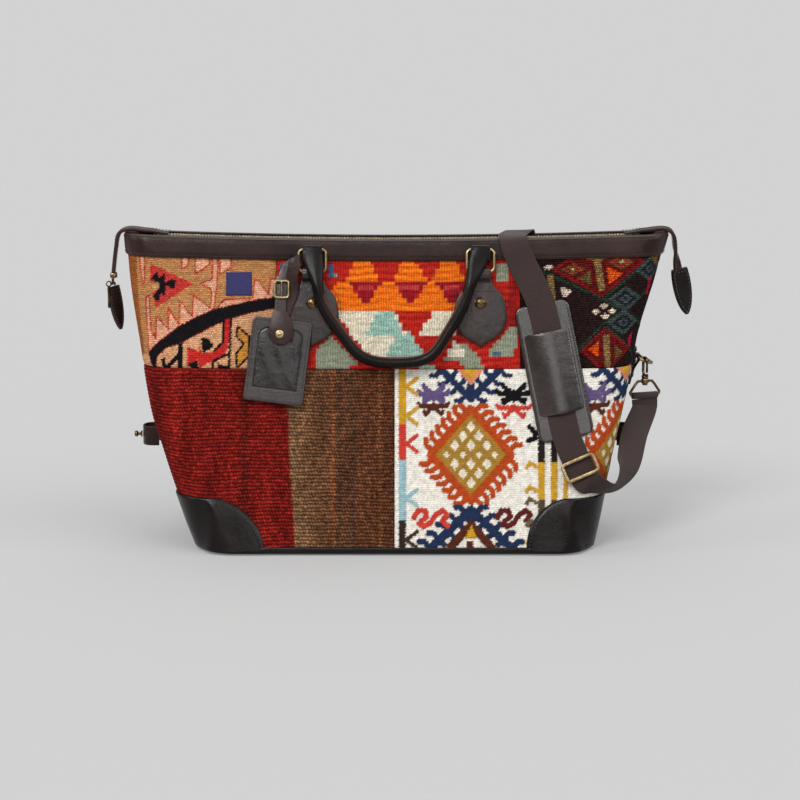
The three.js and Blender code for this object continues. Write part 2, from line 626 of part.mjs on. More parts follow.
function handleSet(name, side) {
  const turned = new THREE.Group();
  turned.rotation.z = side < 0 ? 0 : PI;
  bag.add(turned);
  const frame = new THREE.Group();
  frame.position.set(0, faceHigh.y, faceHigh.z);
  frame.rotation.x = -faceLean;
  turned.add(frame);

  const hole = RING_WIRE / 2 + GAP;
  const fold = hole + 2.2;
  const low = -RING_HEIGHT + RING_WIRE;
  const tabTop = low - 14;
  for (const [hand, x] of [["left", -HANDLE_SPREAD / 2], ["right", HANDLE_SPREAD / 2]]) {
    const shape = new THREE.Shape();
    shape.moveTo(tabStand, tabTop - 10);
    shape.lineTo(tabFace, tabTop - 10);
    shape.lineTo(tabFace + 1.6, tabTop);
    shape.lineTo(RING_STAND + fold, low - 1);
    shape.absarc(RING_STAND, low, fold, 0, PI);
    shape.lineTo(tabStand, low - 4);
    const eye = new THREE.Path();
    eye.absarc(RING_STAND, low, hole, 0, 2 * PI);
    shape.holes.push(eye);
    const chape = barAlongX(shape, x, RING_WIDTH - 2 * RING_WIRE - 4, 4);
    const shield = plate(shieldShape(), -tabFace, LEATHER + 0.4, 3).translate(x, 0, tabTop);
    piece(frame, `${name}_${hand}_handle_tab`, joined(shield, chape), DARK_LEATHER);

    const middle = new THREE.Vector3(x, -RING_STAND, low / 2);
    const one = new THREE.Vector3(1, 0, 0);
    const two = new THREE.Vector3(0, 0, 1);
    const tall = -low;
    const loop = roundedLoop(middle, one, two, RING_WIDTH - RING_WIRE, tall, 4, 2);
    piece(frame, `${name}_${hand}_ring`, wireLoop(loop, new THREE.Vector3(0, -1, 0), RING_WIRE, 6), BRASS);

    const dome = new THREE.LatheGeometry(
      [[0, 0], [0.5, 0], [0.5, 0.45], [0.42, 1.9], [0.25, 3.2], [0, 3.7]].map(
        ([r, h]) => new THREE.Vector2(r * STUD_WIDTH, h),
      ),
      8,
    );
    dome.rotateX(PI).translate(x, -tabFace - GAP, tabTop - TAB_LENGTH * 0.29);
    piece(frame, `${name}_${hand}_stud`, dome, BRASS);
  }

  const half = HANDLE_SPREAD / 2;
  const drop = HANDLE_DROP - HANDLE_THICK / 2;
  const stand = RING_STAND + fold + 2.6;
  const route = [
    [0, RING_STAND + 3.4, -1],
    [0.4, RING_STAND + 4.2, 5],
    [2, stand - 0.6, 16],
    [5, stand + 1.6, 34],
    [10, stand + 1, 56],
    [26, stand, 82],
    [52, stand - 1, drop - 6],
    [half, stand - 1, drop],
  ].map(([inward, out, down]) => [half - inward, -out, -down]);
  const left = route.map(([x, y, z]) => new THREE.Vector3(-x, y, z));
  const right = route.map(([x, y, z]) => new THREE.Vector3(x, y, z)).reverse().slice(1);
  const path = new THREE.CatmullRomCurve3([...left, ...right], false, "centripetal");
  const steps = 22;
  const rings = [];
  for (let i = 0; i <= steps; i += 1) {
    const p = path.getPointAt(i / steps);
    const along = path.getTangentAt(i / steps);
    const outward = new THREE.Vector3(0, -1, 0);
    const crosswise = along.clone().cross(outward).normalize();
    outward.copy(crosswise).cross(along).normalize();
    const far = min(i, steps - i) / steps;
    const rolled = THREE.MathUtils.smoothstep(far, 0.03, 0.15);
    const wide = mix(9.5, HANDLE_THICK / 2, rolled);
    const deep = mix(1.5, HANDLE_THICK / 2, rolled);
    rings.push(
      Array.from({ length: 8 }, (_, k) => {
        const q = (2 * PI * (k + 0.5)) / 8;
        const point = p.clone().addScaledVector(crosswise, wide * cos(q) * 1.04);
        return point.addScaledVector(outward, deep * sin(q) * 1.04);
      }),
    );
  }
  const eyeShape = new THREE.Shape();
  eyeShape.absarc(RING_STAND, 0, fold + 0.8, 0, 2 * PI);
  const eyeHole = new THREE.Path();
  eyeHole.absarc(RING_STAND, 0, hole, 0, 2 * PI);
  eyeShape.holes.push(eyeHole);
  const eyeWide = RING_WIDTH - 2 * RING_WIRE - 4.4;
  const eyes = [-half, half].map((x) => barAlongX(eyeShape, x, eyeWide, 4));
  const bore = new THREE.Shape();
  bore.absarc(RING_STAND, 0, hole, 0, 2 * PI);
  const bores = [-half, half].map((x) => bodyOf(barAlongX(bore, x, eyeWide + 6, 4)));
  const solid = bodyOf(loft(rings)).add(bodyOf(eyes[0])).add(bodyOf(eyes[1]));
  const handle = solid.subtract(bores[0]).subtract(bores[1]);
  piece(frame, `${name}_handle`, geometryOf(handle), DARK_LEATHER);
}
handleSet("front", -1);
handleSet("back", 1);

// Zip: two tapes, the toothed chain, and a leather-bound tail over each end
const topAt = (x) => HEIGHT - sag(x, HEIGHT);
const zipHalf = TOP_LENGTH / 2 - TOP_CORNER;
const tapeSpread = TOP_DEPTH / 2 - KILIM - LINING_EASE - LINING - 1;
function zipTape(name, side) {
  const tape = sheet(14, 1, 1, (i, v, layer) => {
    const x = mix(-zipHalf, zipHalf, i / 14);
    const y = side * mix(CHAIN_WIDTH / 2 + GAP, tapeSpread, v);
    return new THREE.Vector3(x, y, topAt(x) - LEATHER - GAP - (layer ? 1 : 0));
  });
  piece(bag, name, tape, finish(0x2a2420, 0.9));
}
zipTape("front_zip_tape", -1);
zipTape("back_zip_tape", 1);
const chain = sheet(2 * TEETH, 1, 1, (i, v, layer) => {
  const x = mix(-zipHalf, zipHalf, i / (2 * TEETH));
  const tooth = i % 2 ? 0 : 1;
  const y = mix(-1, 1, v) * (CHAIN_WIDTH / 2 - (layer ? 0 : 1 - tooth));
  return new THREE.Vector3(x, y, topAt(x) - LEATHER - (layer ? 1.4 : -0.2 - 0.9 * tooth));
});
piece(bag, "zip_chain", chain, BRASS);

function leafShape(long, wide) {
  const shape = new THREE.Shape();
  shape.moveTo(-wide * 0.32, 0);
  shape.lineTo(wide * 0.32, 0);
  shape.quadraticCurveTo(wide * 0.62, -long * 0.34, wide * 0.42, -long * 0.62);
  shape.lineTo(1, -long);
  shape.lineTo(-1, -long);
  shape.lineTo(-wide * 0.42, -long * 0.62);
  shape.quadraticCurveTo(-wide * 0.62, -long * 0.34, -wide * 0.32, 0);
  return shape;
}

const tailRise = TAIL_THICK / 2 + GAP + 0.2;
const up = new THREE.Vector3(0, 0, 1);
function zipTail(end, reach, fall, forward) {
  const edge = TOP_LENGTH / 2;
  const outward = new THREE.Vector3(end, 0, 0);
  const half = new THREE.Vector3(end, 0, 1);
  const facing = new THREE.Vector3(end, -forward, 0).normalize();
  const at = (x, y, z) => new THREE.Vector3(end * x, y, HEIGHT + z);
  const route = [
    [at(edge - 44, 0, tailRise - sag(edge - 44, HEIGHT)), up],
    [at(edge - 22, 0, tailRise - sag(edge - 22, HEIGHT)), up],
    [at(edge - 1, 0, tailRise + 0.6), up],
    [at(edge + reach * 0.66, -forward, tailRise - 4), half],
    [at(edge + reach, -forward * 2, -18), outward],
    [at(edge + reach + 3, -forward * 4, -fall), facing],
  ];
  return [ribbon(route, TAIL_WIDTH, TAIL_THICK, 16), route[route.length - 1][0]];
}
const [leftStrip, leftTail] = zipTail(-1, 11, 42, 0);
piece(bag, "left_zip_tail", leftStrip, EDGE_LEATHER);
const slider = new THREE.Group();
slider.position.copy(leftTail);
bag.add(slider);
const sliderBody = roundedLoop(
  new THREE.Vector3(0, 0, -5.4),
  new THREE.Vector3(1, 0, 0),
  new THREE.Vector3(0, 1, 0),
  7,
  9,
  2,
  2,
);
const sliderTop = sliderBody.map((p) => p.clone().setZ(-0.6));
const bail = roundedLoop(new THREE.Vector3(-1, 0, -8.6), up, new THREE.Vector3(0, 1, 0), 8, 10, 3, 2);
const bridge = wireLoop(bail, new THREE.Vector3(1, 0, 0), 1.6);
piece(slider, "zip_slider", joined(loft([sliderBody, sliderTop]), bridge), BRASS);

// The leather leaf pull hangs from the bail by its folded head
const pull = new THREE.Group();
pull.position.set(-1, 0, -12.6);
slider.add(pull);
const pullHead = new THREE.Shape();
pullHead.absarc(0, 0, 3, 0, 2 * PI);
const pullHole = new THREE.Path();
pullHole.absarc(0, 0, 1.2, 0, 2 * PI);
pullHead.holes.push(pullHole);
const head = new THREE.ExtrudeGeometry(pullHead, { depth: 5.4, bevelEnabled: false, curveSegments: 6 });
head.rotateX(PI / 2).translate(0, 2.7, 0);
const leaf = plate(leafShape(LEAF_LENGTH, LEAF_WIDTH), -1.3, 2.6).rotateZ(PI / 2).translate(0, 0, -2.2);
piece(pull, "zip_pull_leaf", joined(head, leaf), DARK_LEATHER);

const [rightStrip, rightTail] = zipTail(1, 9, 40, 1.6);
const endLeaf = plate(leafShape(LEAF_LENGTH + 2, LEAF_WIDTH), -1.6, 3.2);
endLeaf.rotateY(0.06).rotateZ(0.35).translate(rightTail.x - 0.5, rightTail.y, rightTail.z + 2);
piece(bag, "right_zip_tail", joined(rightStrip, endLeaf), DARK_LEATHER);

// Swivel clips: a sprung hook on each D-ring, and the wide eye that the webbing is sewn round
function wirePath(points, normal, wire, sides = 5) {
  const rings = points.map((p, i) => {
    const next = points[min(i + 1, points.length - 1)];
    const last = points[max(i - 1, 0)];
    const along = next.clone().sub(last).normalize();
    const sideways = along.clone().cross(normal).normalize();
    return Array.from({ length: sides }, (_, k) => {
      const q = (2 * PI * (k + 0.5)) / sides;
      const side = sideways.clone().multiplyScalar((cos(q) * wire) / 2);
      return p.clone().add(side).addScaledVector(normal, (sin(q) * wire) / 2);
    });
  });
  return loft(rings);
}
const drum = (radius, low, high) =>
  new THREE.CylinderGeometry(radius, radius, high - low, 8).rotateX(PI / 2).translate(0, 0, (low + high) / 2);

function clip(name, pull, eyeTurn) {
  const { at: ringPoint, wireWay } = clipPlaces[name];
  const hang = new THREE.Group();
  hang.position.copy(ringPoint);
  hang.quaternion.setFromUnitVectors(new THREE.Vector3(0, 0, -1), pull);
  bag.add(hang);
  const hook = new THREE.Group();
  const wireHere = wireWay.clone().applyQuaternion(hang.quaternion.clone().invert());
  hook.rotation.z = atan2(-wireHere.x, wireHere.y);
  hang.add(hook);
  const flat = new THREE.Vector3(0, 1, 0);
  const half = HOOK_WIDTH / 2 - 1.5;
  const crown = -0.9;
  const throat = crown - HOOK_EYE + half + 4;
  const at = (x, z) => new THREE.Vector3(x, 0, z);
  const bend = [at(half, crown - 3.4)];
  for (let i = 0; i <= 6; i += 1) bend.push(at(half * cos((PI * i) / 6), crown + half * sin((PI * i) / 6)));
  bend.push(at(-half, crown - 5), at(-half, throat), at(-half * 0.6, throat - 3), at(0, throat - 4.5));
  const wire = wirePath(bend, flat, 3);
  const toe = wirePath([at(0, throat - 3.6), at(half, throat - 3.2), at(half + 0.6, throat - 2)], flat, 2.8);
  const post = throat - 3.2;
  const barrel = drum(3.6, post - 3.6, post);
  const stem = drum(1.6, post - 10.6, post - 2);
  const head = drum(2.8, post - 10.8, post - 9.2);
  piece(hook, `${name}_hook`, joined(wire, toe, barrel, stem, head), BRASS);
  const gate = wirePath([at(half, throat - 0.2), at(half, crown - 3.8)], flat, 2.4);
  piece(hook, `${name}_hook_gate`, gate, BRASS);

  const collar = drum(4, post - 8.8, post - 3.6 - GAP);
  const bore = bodyOf(drum(1.6 + GAP + 0.1, post - 12, post));
  const eyeWire = 2.8;
  const wide = WEBBING + 1.6 + eyeWire;
  const tall = 15;
  const middle = new THREE.Vector3(0, 0, post - 6.3 - tall / 2);
  const loop = roundedLoop(middle, new THREE.Vector3(1, 0, 0), up, wide, tall, 1.8, 2);
  const frame = bodyOf(wireLoop(loop, flat, eyeWire)).add(bodyOf(collar)).subtract(bore);
  const turned = new THREE.Group();
  turned.rotation.z = eyeTurn;
  hang.add(turned);
  piece(turned, `${name}_strap_eye`, geometryOf(frame), BRASS);
  turned.updateWorldMatrix(true, false);
  return turned.matrixWorld.clone().multiply(new THREE.Matrix4().makeTranslation(0, 0, middle.z - tall / 2));
}
const leftPull = new THREE.Vector3(0.1, 0.99, -0.12).normalize();
const rightFrame = clip("right", new THREE.Vector3(0, 0, -1), EYE_TURN);
const leftFrame = clip("left", leftPull, PI / 2);
const rightBar = new THREE.Vector3().setFromMatrixPosition(rightFrame);
const leftBar = new THREE.Vector3().setFromMatrixPosition(leftFrame);

// Shoulder strap: one length of webbing from clip to clip, over the front, the zip and the back
const strapOut = RELIEF + GAP + LEATHER + 0.5 + GAP + WEBBING_THICK / 2;
const outOfFace = new THREE.Vector3(0, -cos(faceLean), sin(faceLean));
const outOfBack = new THREE.Vector3(0, cos(faceLean), sin(faceLean));
const front = ([x, z], out = strapOut) => [onFront(x, z, out), outOfFace];
const back = (x, z, out = strapOut) => {
  const p = onFront(x, z, out);
  return [new THREE.Vector3(p.x, -p.y, p.z), outOfBack];
};
const way = (x, y, z, a, b, c) => [new THREE.Vector3(x, y, z), new THREE.Vector3(a, b, c).normalize()];
const ridge = topAt(STRAP_CREST) + GAP + WEBBING_THICK / 2 + 1;
const lip = TOP_DEPTH / 2 + LEATHER + 1.6;
const sewn = 3.4;
const leftFacing = new THREE.Vector3().setFromMatrixColumn(leftFrame, 1);
const eyeFacing = new THREE.Vector3(sin(EYE_TURN), -cos(EYE_TURN), 0);
const strapRoute = [
  [rightBar.clone().addScaledVector(up, -sewn), eyeFacing],
  [rightBar.clone().addScaledVector(up, -13), eyeFacing],
  way(rightBar.x - 12, rightBar.y - 20, rightBar.z - 38, 0.2, -1, 0.1),
  way(rightBar.x - 20, rightBar.y - 42, rightBar.z - 63, 0.2, -1, 0.15),
  way(rightBar.x - 29, rightBar.y - 57, rightBar.z - 77, 0.15, -1, 0.25),
  way(rightBar.x - 42, rightBar.y - 71, rightBar.z - 84.5, 0.1, -1, 0.3),
  way(rightBar.x - 57, rightBar.y - 79, rightBar.z - 79, 0, -1, 0.25),
  front([STRAP_FOOT[0] + 5, STRAP_FOOT[1] - 10], strapOut + 0.4),
  front(STRAP_FOOT),
  front(PAD_FOOT),
  front([mix(PAD_FOOT[0], PAD_HEAD[0], 0.5), mix(PAD_FOOT[1], PAD_HEAD[1], 0.5)]),
  front(PAD_HEAD),
  front([STRAP_CREST + 9, HEIGHT - 27]),
  way(STRAP_CREST + 3, -lip - 4.5, ridge - 10, 0, -1, 0.5),
  way(STRAP_CREST + 1, -lip - 1.2, ridge - 1.6, 0, -1, 1),
  way(STRAP_CREST, -lip + 8, ridge + 1.2, 0, -0.2, 1),
  way(STRAP_CREST + 3, 0, ridge + 0.6, 0, 0, 1),
  way(STRAP_BACK - 5, lip - 8, ridge + 1.2, 0, 0.2, 1),
  way(STRAP_BACK - 3, lip + 1.2, ridge - 1.6, 0, 1, 1),
  way(STRAP_BACK - 2, lip + 4.5, ridge - 10, 0, 1, 0.5),
  back(STRAP_BACK, HEIGHT - 27),
  back(STRAP_BACK, ROW_SEAM + 20),
  back(STRAP_BACK - 22, ROW_SEAM - 50),
  back(STRAP_BACK - 84, ROW_SEAM - 92),
  back(-26, 82, strapOut + 1),
  back(-108, 96, strapOut + 2),
  back(-172, 136, strapOut + 3),
  way(leftBar.x + 34, leftBar.y + 24, leftBar.z - 16, -0.45, 1, 0.1),
  [leftBar.clone().addScaledVector(leftPull, 12), leftFacing],
  [leftBar.clone().addScaledVector(leftPull, sewn), leftFacing],
];
const sewnEye = new THREE.Shape();
sewnEye.absarc(0, 0, 1.4 + GAP + WEBBING_THICK, 0, 2 * PI);
const sewnHole = new THREE.Path();
sewnHole.absarc(0, 0, 1.4 + GAP, 0, 2 * PI);
sewnEye.holes.push(sewnHole);
const sewnEnds = [rightFrame, leftFrame].map((f) => barAlongX(sewnEye, 0, WEBBING, 4).applyMatrix4(f));
const webbing = joined(ribbon(strapRoute, WEBBING, WEBBING_THICK, 64), ...sewnEnds);
piece(bag, "shoulder_strap", webbing, WEB);

// Points beside the strap: along from the pad's middle, across to the right, out from the face
const padRun = hypot(PAD_HEAD[0] - PAD_FOOT[0], PAD_HEAD[1] - PAD_FOOT[1]);
const padWay = [(PAD_HEAD[0] - PAD_FOOT[0]) / padRun, (PAD_HEAD[1] - PAD_FOOT[1]) / padRun];
function besideStrap(middle, way, along, aside, out) {
  const x = middle[0] + along * way[0] + aside * way[1];
  const z = middle[1] + along * way[1] - aside * way[0];
  return onFront(x, z, out);
}
const padMiddle = [mix(PAD_FOOT[0], PAD_HEAD[0], 0.5), mix(PAD_FOOT[1], PAD_HEAD[1], 0.5)];
const padFace = RELIEF + GAP + 0.2;
const padBase = sheet(4, 10, 10, (i, v, layer) => {
  const end = max(0, abs(v - 0.5) * 2 - 0.9) * 10;
  const aside = mix(-0.5, 0.5, i / 4) * (PAD_WIDTH - 14 * end ** 2);
  return besideStrap(padMiddle, padWay, mix(-0.5, 0.5, v) * PAD_LENGTH, aside, layer ? padFace : padFace + LEATHER);
});
piece(bag, "shoulder_pad", padBase, BLACK_LEATHER);
const coverSteps = [-PAD_WIDTH / 2 + 3, -WEBBING / 2 - 4, -WEBBING / 2 - 1.6];
const coverAcross = [...coverSteps, ...coverSteps.map((c) => -c).reverse()];
const coverLow = padFace + LEATHER + GAP;
const cover = sheet(5, 4, 4, (i, v, layer) => {
  const raised = i > 1 && i < 4 ? WEBBING_THICK + 2 * GAP : 0;
  const out = coverLow + raised + (layer ? 0 : LEATHER);
  return besideStrap(padMiddle, padWay, (v - 0.51) * PAD_COVER, coverAcross[i], out);
});
piece(bag, "shoulder_pad_cover", cover, DARK_LEATHER);

// Slide adjuster: two bars over the webbing and one under it
const adjustWay = [PAD_FOOT[0] - STRAP_FOOT[0], PAD_FOOT[1] - STRAP_FOOT[1]];
const adjustRun = hypot(...adjustWay);
const adjust = new THREE.Group();
adjust.position.copy(onFront(STRAP_FOOT[0], STRAP_FOOT[1], strapOut));
adjust.rotation.set(-faceLean, atan2(adjustWay[0], adjustWay[1]), 0, "XYZ");
bag.add(adjust);
const adjustWire = 2.2;
const adjustWide = WEBBING + 1.4 + adjustWire;
const overWeb = WEBBING_THICK / 2 + GAP + adjustWire / 2 + 0.3;
const xAxis = new THREE.Vector3(1, 0, 0);
const yAxis = new THREE.Vector3(0, 1, 0);
const overLoop = roundedLoop(new THREE.Vector3(0, -overWeb, 0), xAxis, up, adjustWide, 18, 2.5, 2);
const underBar = wirePath(
  [
    new THREE.Vector3(-adjustWide / 2, -overWeb, 0),
    new THREE.Vector3(-adjustWide / 2, overWeb, 0),
    new THREE.Vector3(adjustWide / 2, overWeb, 0),
    new THREE.Vector3(adjustWide / 2, -overWeb, 0),
  ],
  up,
  adjustWire - 0.3,
);
piece(adjust, "strap_adjuster", joined(wireLoop(overLoop, yAxis, adjustWire), underBar), BRASS);

// Luggage tag: back plate with its raised name flap, window frame, looped strap and buckle
const tagPlane = new THREE.Group();
tagPlane.position.copy(onFront(TAG_AT[0], TAG_AT[1], 0));
tagPlane.rotation.x = -faceLean;
bag.add(tagPlane);
const tag = new THREE.Group();
tag.rotation.y = THREE.MathUtils.degToRad(TAG_TILT);
tagPlane.add(tag);
function tagOutline() {
  const w = TAG_WIDTH / 2;
  const h = TAG_LENGTH / 2;
  const shape = new THREE.Shape();
  shape.moveTo(-w, -h);
  shape.lineTo(w, -h);
  shape.lineTo(w, h - 5);
  shape.lineTo(w - 5, h);
  shape.lineTo(-w + 5, h);
  shape.lineTo(-w, h - 5);
  return shape;
}
function tagWindow(ease) {
  const w = TAG_WIDTH / 2 - 8 - ease;
  const low = -TAG_LENGTH / 2 + 19 + ease;
  const high = TAG_LENGTH / 2 - 10 - ease;
  const path = new THREE.Shape();
  path.moveTo(-w, low);
  path.lineTo(w, low);
  path.lineTo(w, high - 10);
  path.quadraticCurveTo(w, high, w - 10, high);
  path.lineTo(-w + 10, high);
  path.quadraticCurveTo(-w, high, -w, high - 10);
  return path;
}
const tagThick = 1.6;
const tagBack = tabFace + GAP + 0.3;
const flap = plate(tagWindow(0.8), -tagBack - tagThick - 1, 1.5, 3);
const backPlate = plate(tagOutline(), -tagBack - tagThick, tagThick);
const frameShape = tagOutline();
frameShape.holes.push(tagWindow(0));
const frameFace = tagBack + 2 * tagThick;
const windowFrame = plate(frameShape, -frameFace, tagThick + 0.2, 3);
piece(tag, "luggage_tag", joined(backPlate, flap, windowFrame), BLACK_LEATHER);

const tagHang = new THREE.Group();
tagHang.position.set(0, faceHigh.y, faceHigh.z);
tagHang.rotation.x = -faceLean;
bag.add(tagHang);
const ringEdge = -HANDLE_SPREAD / 2 - RING_WIDTH / 2;
const tongue = frameFace + GAP + 0.8;
const loopAt = (x, out, down, a, b, c) => way(ringEdge + x, -out, -down, a, b, c);
const behind = RING_STAND - RING_WIRE / 2 - GAP - 1.2;
const before = RING_STAND + RING_WIRE / 2 + GAP + 1.2;
const tagRoute = [
  loopAt(-18, tongue, 92, 0, -1, 0),
  loopAt(-17.5, tongue, 74, 0, -1, 0),
  loopAt(-16.5, tongue - 0.3, 53, 0, -1, 0),
  loopAt(-14.5, tongue - 1.4, 33, 0, -1, 0),
  loopAt(-8.5, behind + 0.4, 17, 0, -1, 0),
  loopAt(1, behind - 0.3, 12, 0, -1, 0),
  loopAt(5.6, RING_STAND, 11.6, -1, 0, 0),
  loopAt(0.6, before + 0.3, 12, 0, 1, 0),
  loopAt(-4.6, before, 26, 0, 1, 0),
  loopAt(-4.5, tagBack + 2.2, 43, 0, 1, 0),
  loopAt(-10, tagBack + 1.2, 58, 0, 1, 0),
  loopAt(-12, tagBack + 1, 66, 0, 1, 0),
];
piece(tagHang, "tag_strap", ribbon(tagRoute, TAG_STRAP, 1.5, 33), EDGE_LEATHER);
const buckleMiddle = new THREE.Vector3(ringEdge - 15.6, -tongue - 2.6, -41);
const buckle = wireLoop(roundedLoop(buckleMiddle, xAxis, up, 14, 17, 2.5, 2), yAxis, 1.8);
piece(tagHang, "tag_buckle", buckle, BRASS);

export default bag;
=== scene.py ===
"""The kilim weekender bag as it looks: woven cloth, leather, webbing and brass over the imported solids."""
import math

import bpy
import numpy as np
from mathutils import Matrix, Vector


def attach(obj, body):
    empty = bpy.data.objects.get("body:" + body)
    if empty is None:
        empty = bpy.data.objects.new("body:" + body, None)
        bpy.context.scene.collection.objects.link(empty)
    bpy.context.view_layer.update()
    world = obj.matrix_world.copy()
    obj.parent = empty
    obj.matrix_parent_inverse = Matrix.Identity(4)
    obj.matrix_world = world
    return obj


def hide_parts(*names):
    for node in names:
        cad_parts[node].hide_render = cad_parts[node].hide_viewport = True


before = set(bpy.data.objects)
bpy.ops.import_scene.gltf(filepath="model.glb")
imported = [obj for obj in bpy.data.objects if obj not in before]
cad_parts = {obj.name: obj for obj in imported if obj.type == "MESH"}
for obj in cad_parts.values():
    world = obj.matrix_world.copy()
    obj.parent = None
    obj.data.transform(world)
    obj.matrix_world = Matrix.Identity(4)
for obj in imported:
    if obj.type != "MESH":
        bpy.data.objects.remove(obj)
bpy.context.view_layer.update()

# Sizes in millimetres, the same as the solids have
MM = 0.001
TOP_LENGTH, TOP_DEPTH = 560, 58
BASE_LENGTH, BASE_DEPTH = 422, 208
HEIGHT = 320
TOP_SAG, SLOUCH, END_BULGE = 6, 10, 3
END_TUCK, TUCK_FROM, TUCK_TO = 18, 112, 290
BASE_CORNER, TOP_CORNER = 45, 27
DRAW_LEFT, DRAW_RIGHT, DRAW_HEIGHT, DRAW_REACH = 6, 9, 130, 70
GAP, KILIM, RELIEF, LEATHER, BASE_THICK = 0.3, 3, 0.8, 2, 3
RIB_PITCH = 3.6
BAND_HEIGHT, LIP_REACH, STRIP_WIDTH = 21, 12, 30
PATCH_HEIGHT, PATCH_REACH = 58, 56
ROW_SEAM, LEFT_SEAM, RIGHT_SEAM, LOWER_SEAM = 187, -123, 127, -2
HANDLE_SPREAD, HANDLE_DROP, HANDLE_THICK = 172, 119, 11
RING_LEVEL, RING_WIDTH, RING_HEIGHT, RING_WIRE, RING_STAND = 304, 31, 26, 3.4, 7.6
TAB_WIDTH, TAB_NECK, TAB_LENGTH, STUD_WIDTH = 54, 37, 62, 12
CHAIN_WIDTH, TAIL_WIDTH, TAIL_THICK, LEAF_LENGTH, LEAF_WIDTH = 6, 20, 4, 46, 19
WEBBING, WEBBING_THICK = 29, 1.8
PAD_LENGTH, PAD_WIDTH, PAD_COVER = 138, 57, 82
STRAP_FOOT, PAD_FOOT, PAD_HEAD = (187, 88), (174, 118), (148, 250)
STRAP_CREST, STRAP_BACK = 119, 134
D_LEVEL, D_REACH, D_WIDTH, D_WIRE = 190, 16, 27, 3.2
HOOK_EYE, HOOK_WIDTH, EYE_TURN = 19, 12, 0.35
TAG_WIDTH, TAG_LENGTH, TAG_TILT, TAG_AT, TAG_STRAP = 61, 86, 7, (-121, 193), 12


# Camera: straight on from the front, a little above, with a long lens
CAMERA_AIM = Vector((0.0037, 0, 0.1428))
CAMERA_AWAY = 2.6
CAMERA_ABOVE = math.radians(10)
CAMERA_LENS, SENSOR = 111.5, 36


def make_camera():
    lens = bpy.data.cameras.new("camera")
    lens.lens = CAMERA_LENS
    lens.sensor_width = SENSOR
    camera = bpy.data.objects.new("camera", lens)
    back = Vector((0, -math.cos(CAMERA_ABOVE), math.sin(CAMERA_ABOVE)))
    camera.location = CAMERA_AIM + back * CAMERA_AWAY
    camera.rotation_euler = (math.pi / 2 - CAMERA_ABOVE, 0, 0)
    bpy.context.scene.collection.objects.link(camera)
    bpy.context.scene.camera = camera


make_camera()


# The bag's outer form, for numbers or arrays
def mix(a, b, t):
    return a + (b - a) * t


def smooth(t, low=0.0, high=1.0):
    t = np.clip((t - low) / (high - low), 0, 1)
    return t * t * (3 - 2 * t)


def swell(z, low, high):
    """A bow that rises from 0 at low to 1 half way and falls to 0 at high."""
    return np.sin(np.pi * np.clip((z - low) / (high - low), 0, 1))


def half_length(z):
    return mix(BASE_LENGTH, TOP_LENGTH, z / HEIGHT) / 2 + END_BULGE * np.sin(np.pi * z / HEIGHT)


def half_depth(z):
    return mix(BASE_DEPTH, TOP_DEPTH, z / HEIGHT) / 2


def corner_radius(z):
    return mix(BASE_CORNER, TOP_CORNER, z / HEIGHT)


def slouch(z):
    return SLOUCH * np.sin(np.pi * np.minimum(1, z / HEIGHT))


def tuck(z):
    return END_TUCK * swell(z, TUCK_FROM, TUCK_TO) ** 2


def draw_in(end, z):
    """How far the soft ends draw in towards the base."""
    return np.where(np.asarray(end) > 0, DRAW_RIGHT, DRAW_LEFT) * np.clip(1 - z / DRAW_HEIGHT, 0, 1)


def sag(x, z):
    return TOP_SAG * np.maximum(0, 1 - (x / (TOP_LENGTH / 2)) ** 2) * (z / HEIGHT) ** 2


def wall(side, m, z, out):
    """A point of the wall: m runs 0 to 1 along the face, to 2 round the corner, to 3 at the end seam."""
    m, z, out = np.broadcast_arrays(*(np.asarray(v, float) for v in (m, z, out)))
    tucked = np.where(m < 0, tuck(z), 0)
    a = half_length(z) - (tucked if side > 0 else 0)
    b = half_depth(z)
    r = corner_radius(z)
    n = np.abs(m)
    turn = np.pi / 2 * (np.clip(n, 1, 2) - 1)
    x = np.where(n > 1, a - r + (r + out) * np.sin(turn), n * (a - r))
    y = np.where(n > 1, b - r + (r + out) * np.cos(turn), b + out)
    inward = tucked * smooth(n, 2, 2.4) if side < 0 else 0
    x = np.where(n > 2, a + out - inward, x)
    y = np.where(n > 2, (3 - n) * (b - r), y)
    x = x - draw_in(m, z) * smooth(x, a - DRAW_REACH, a)
    x = np.sign(m) * x - slouch(z)
    return np.stack([x, side * y, z - sag(x, z)], -1)


def reach(z):
    """Cloth from the middle of the face to the end seam, measured round the corner."""
    r = corner_radius(z)
    return half_length(z) - r + np.pi / 2 * r + half_depth(z) - r


def station(s, z):
    """The wall station of a place s along the cloth, where s is x as long as the face is flat."""
    r = corner_radius(z)
    flat = half_length(z) - r
    bend = np.pi / 2 * r
    t = s + slouch(z)
    n = np.abs(t)
    round_corner = 1 + (n - flat) / bend
    past_corner = 2 + (n - flat - bend) / (half_depth(z) - r)
    beyond = np.where(n < flat + bend, round_corner, past_corner)
    return np.sign(t) * np.where(n < flat, n / flat, beyond)


SAG_STEPS = 6


def on_front(x, height, out):
    z = height
    for _ in range(SAG_STEPS):
        z = height + sag(x, z)
    return Vector((x, -half_depth(z) - out, height))


def on_end(end, y, z, out):
    straight = half_depth(z) - corner_radius(z)
    past = min(max(0, abs(y) - straight), corner_radius(z))
    drop = corner_radius(z) - math.sqrt(corner_radius(z) ** 2 - past**2)
    ahead = min(1, max(0, 3 + 3 * y / straight)) if y < 0 else 1
    inward = float(draw_in(end, z)) + (tuck(z) * ahead if end < 0 else 0)
    return Vector((end * (half_length(z) - drop - inward + out) - slouch(z), y, z))


def top_at(x):
    return HEIGHT - sag(x, HEIGHT)


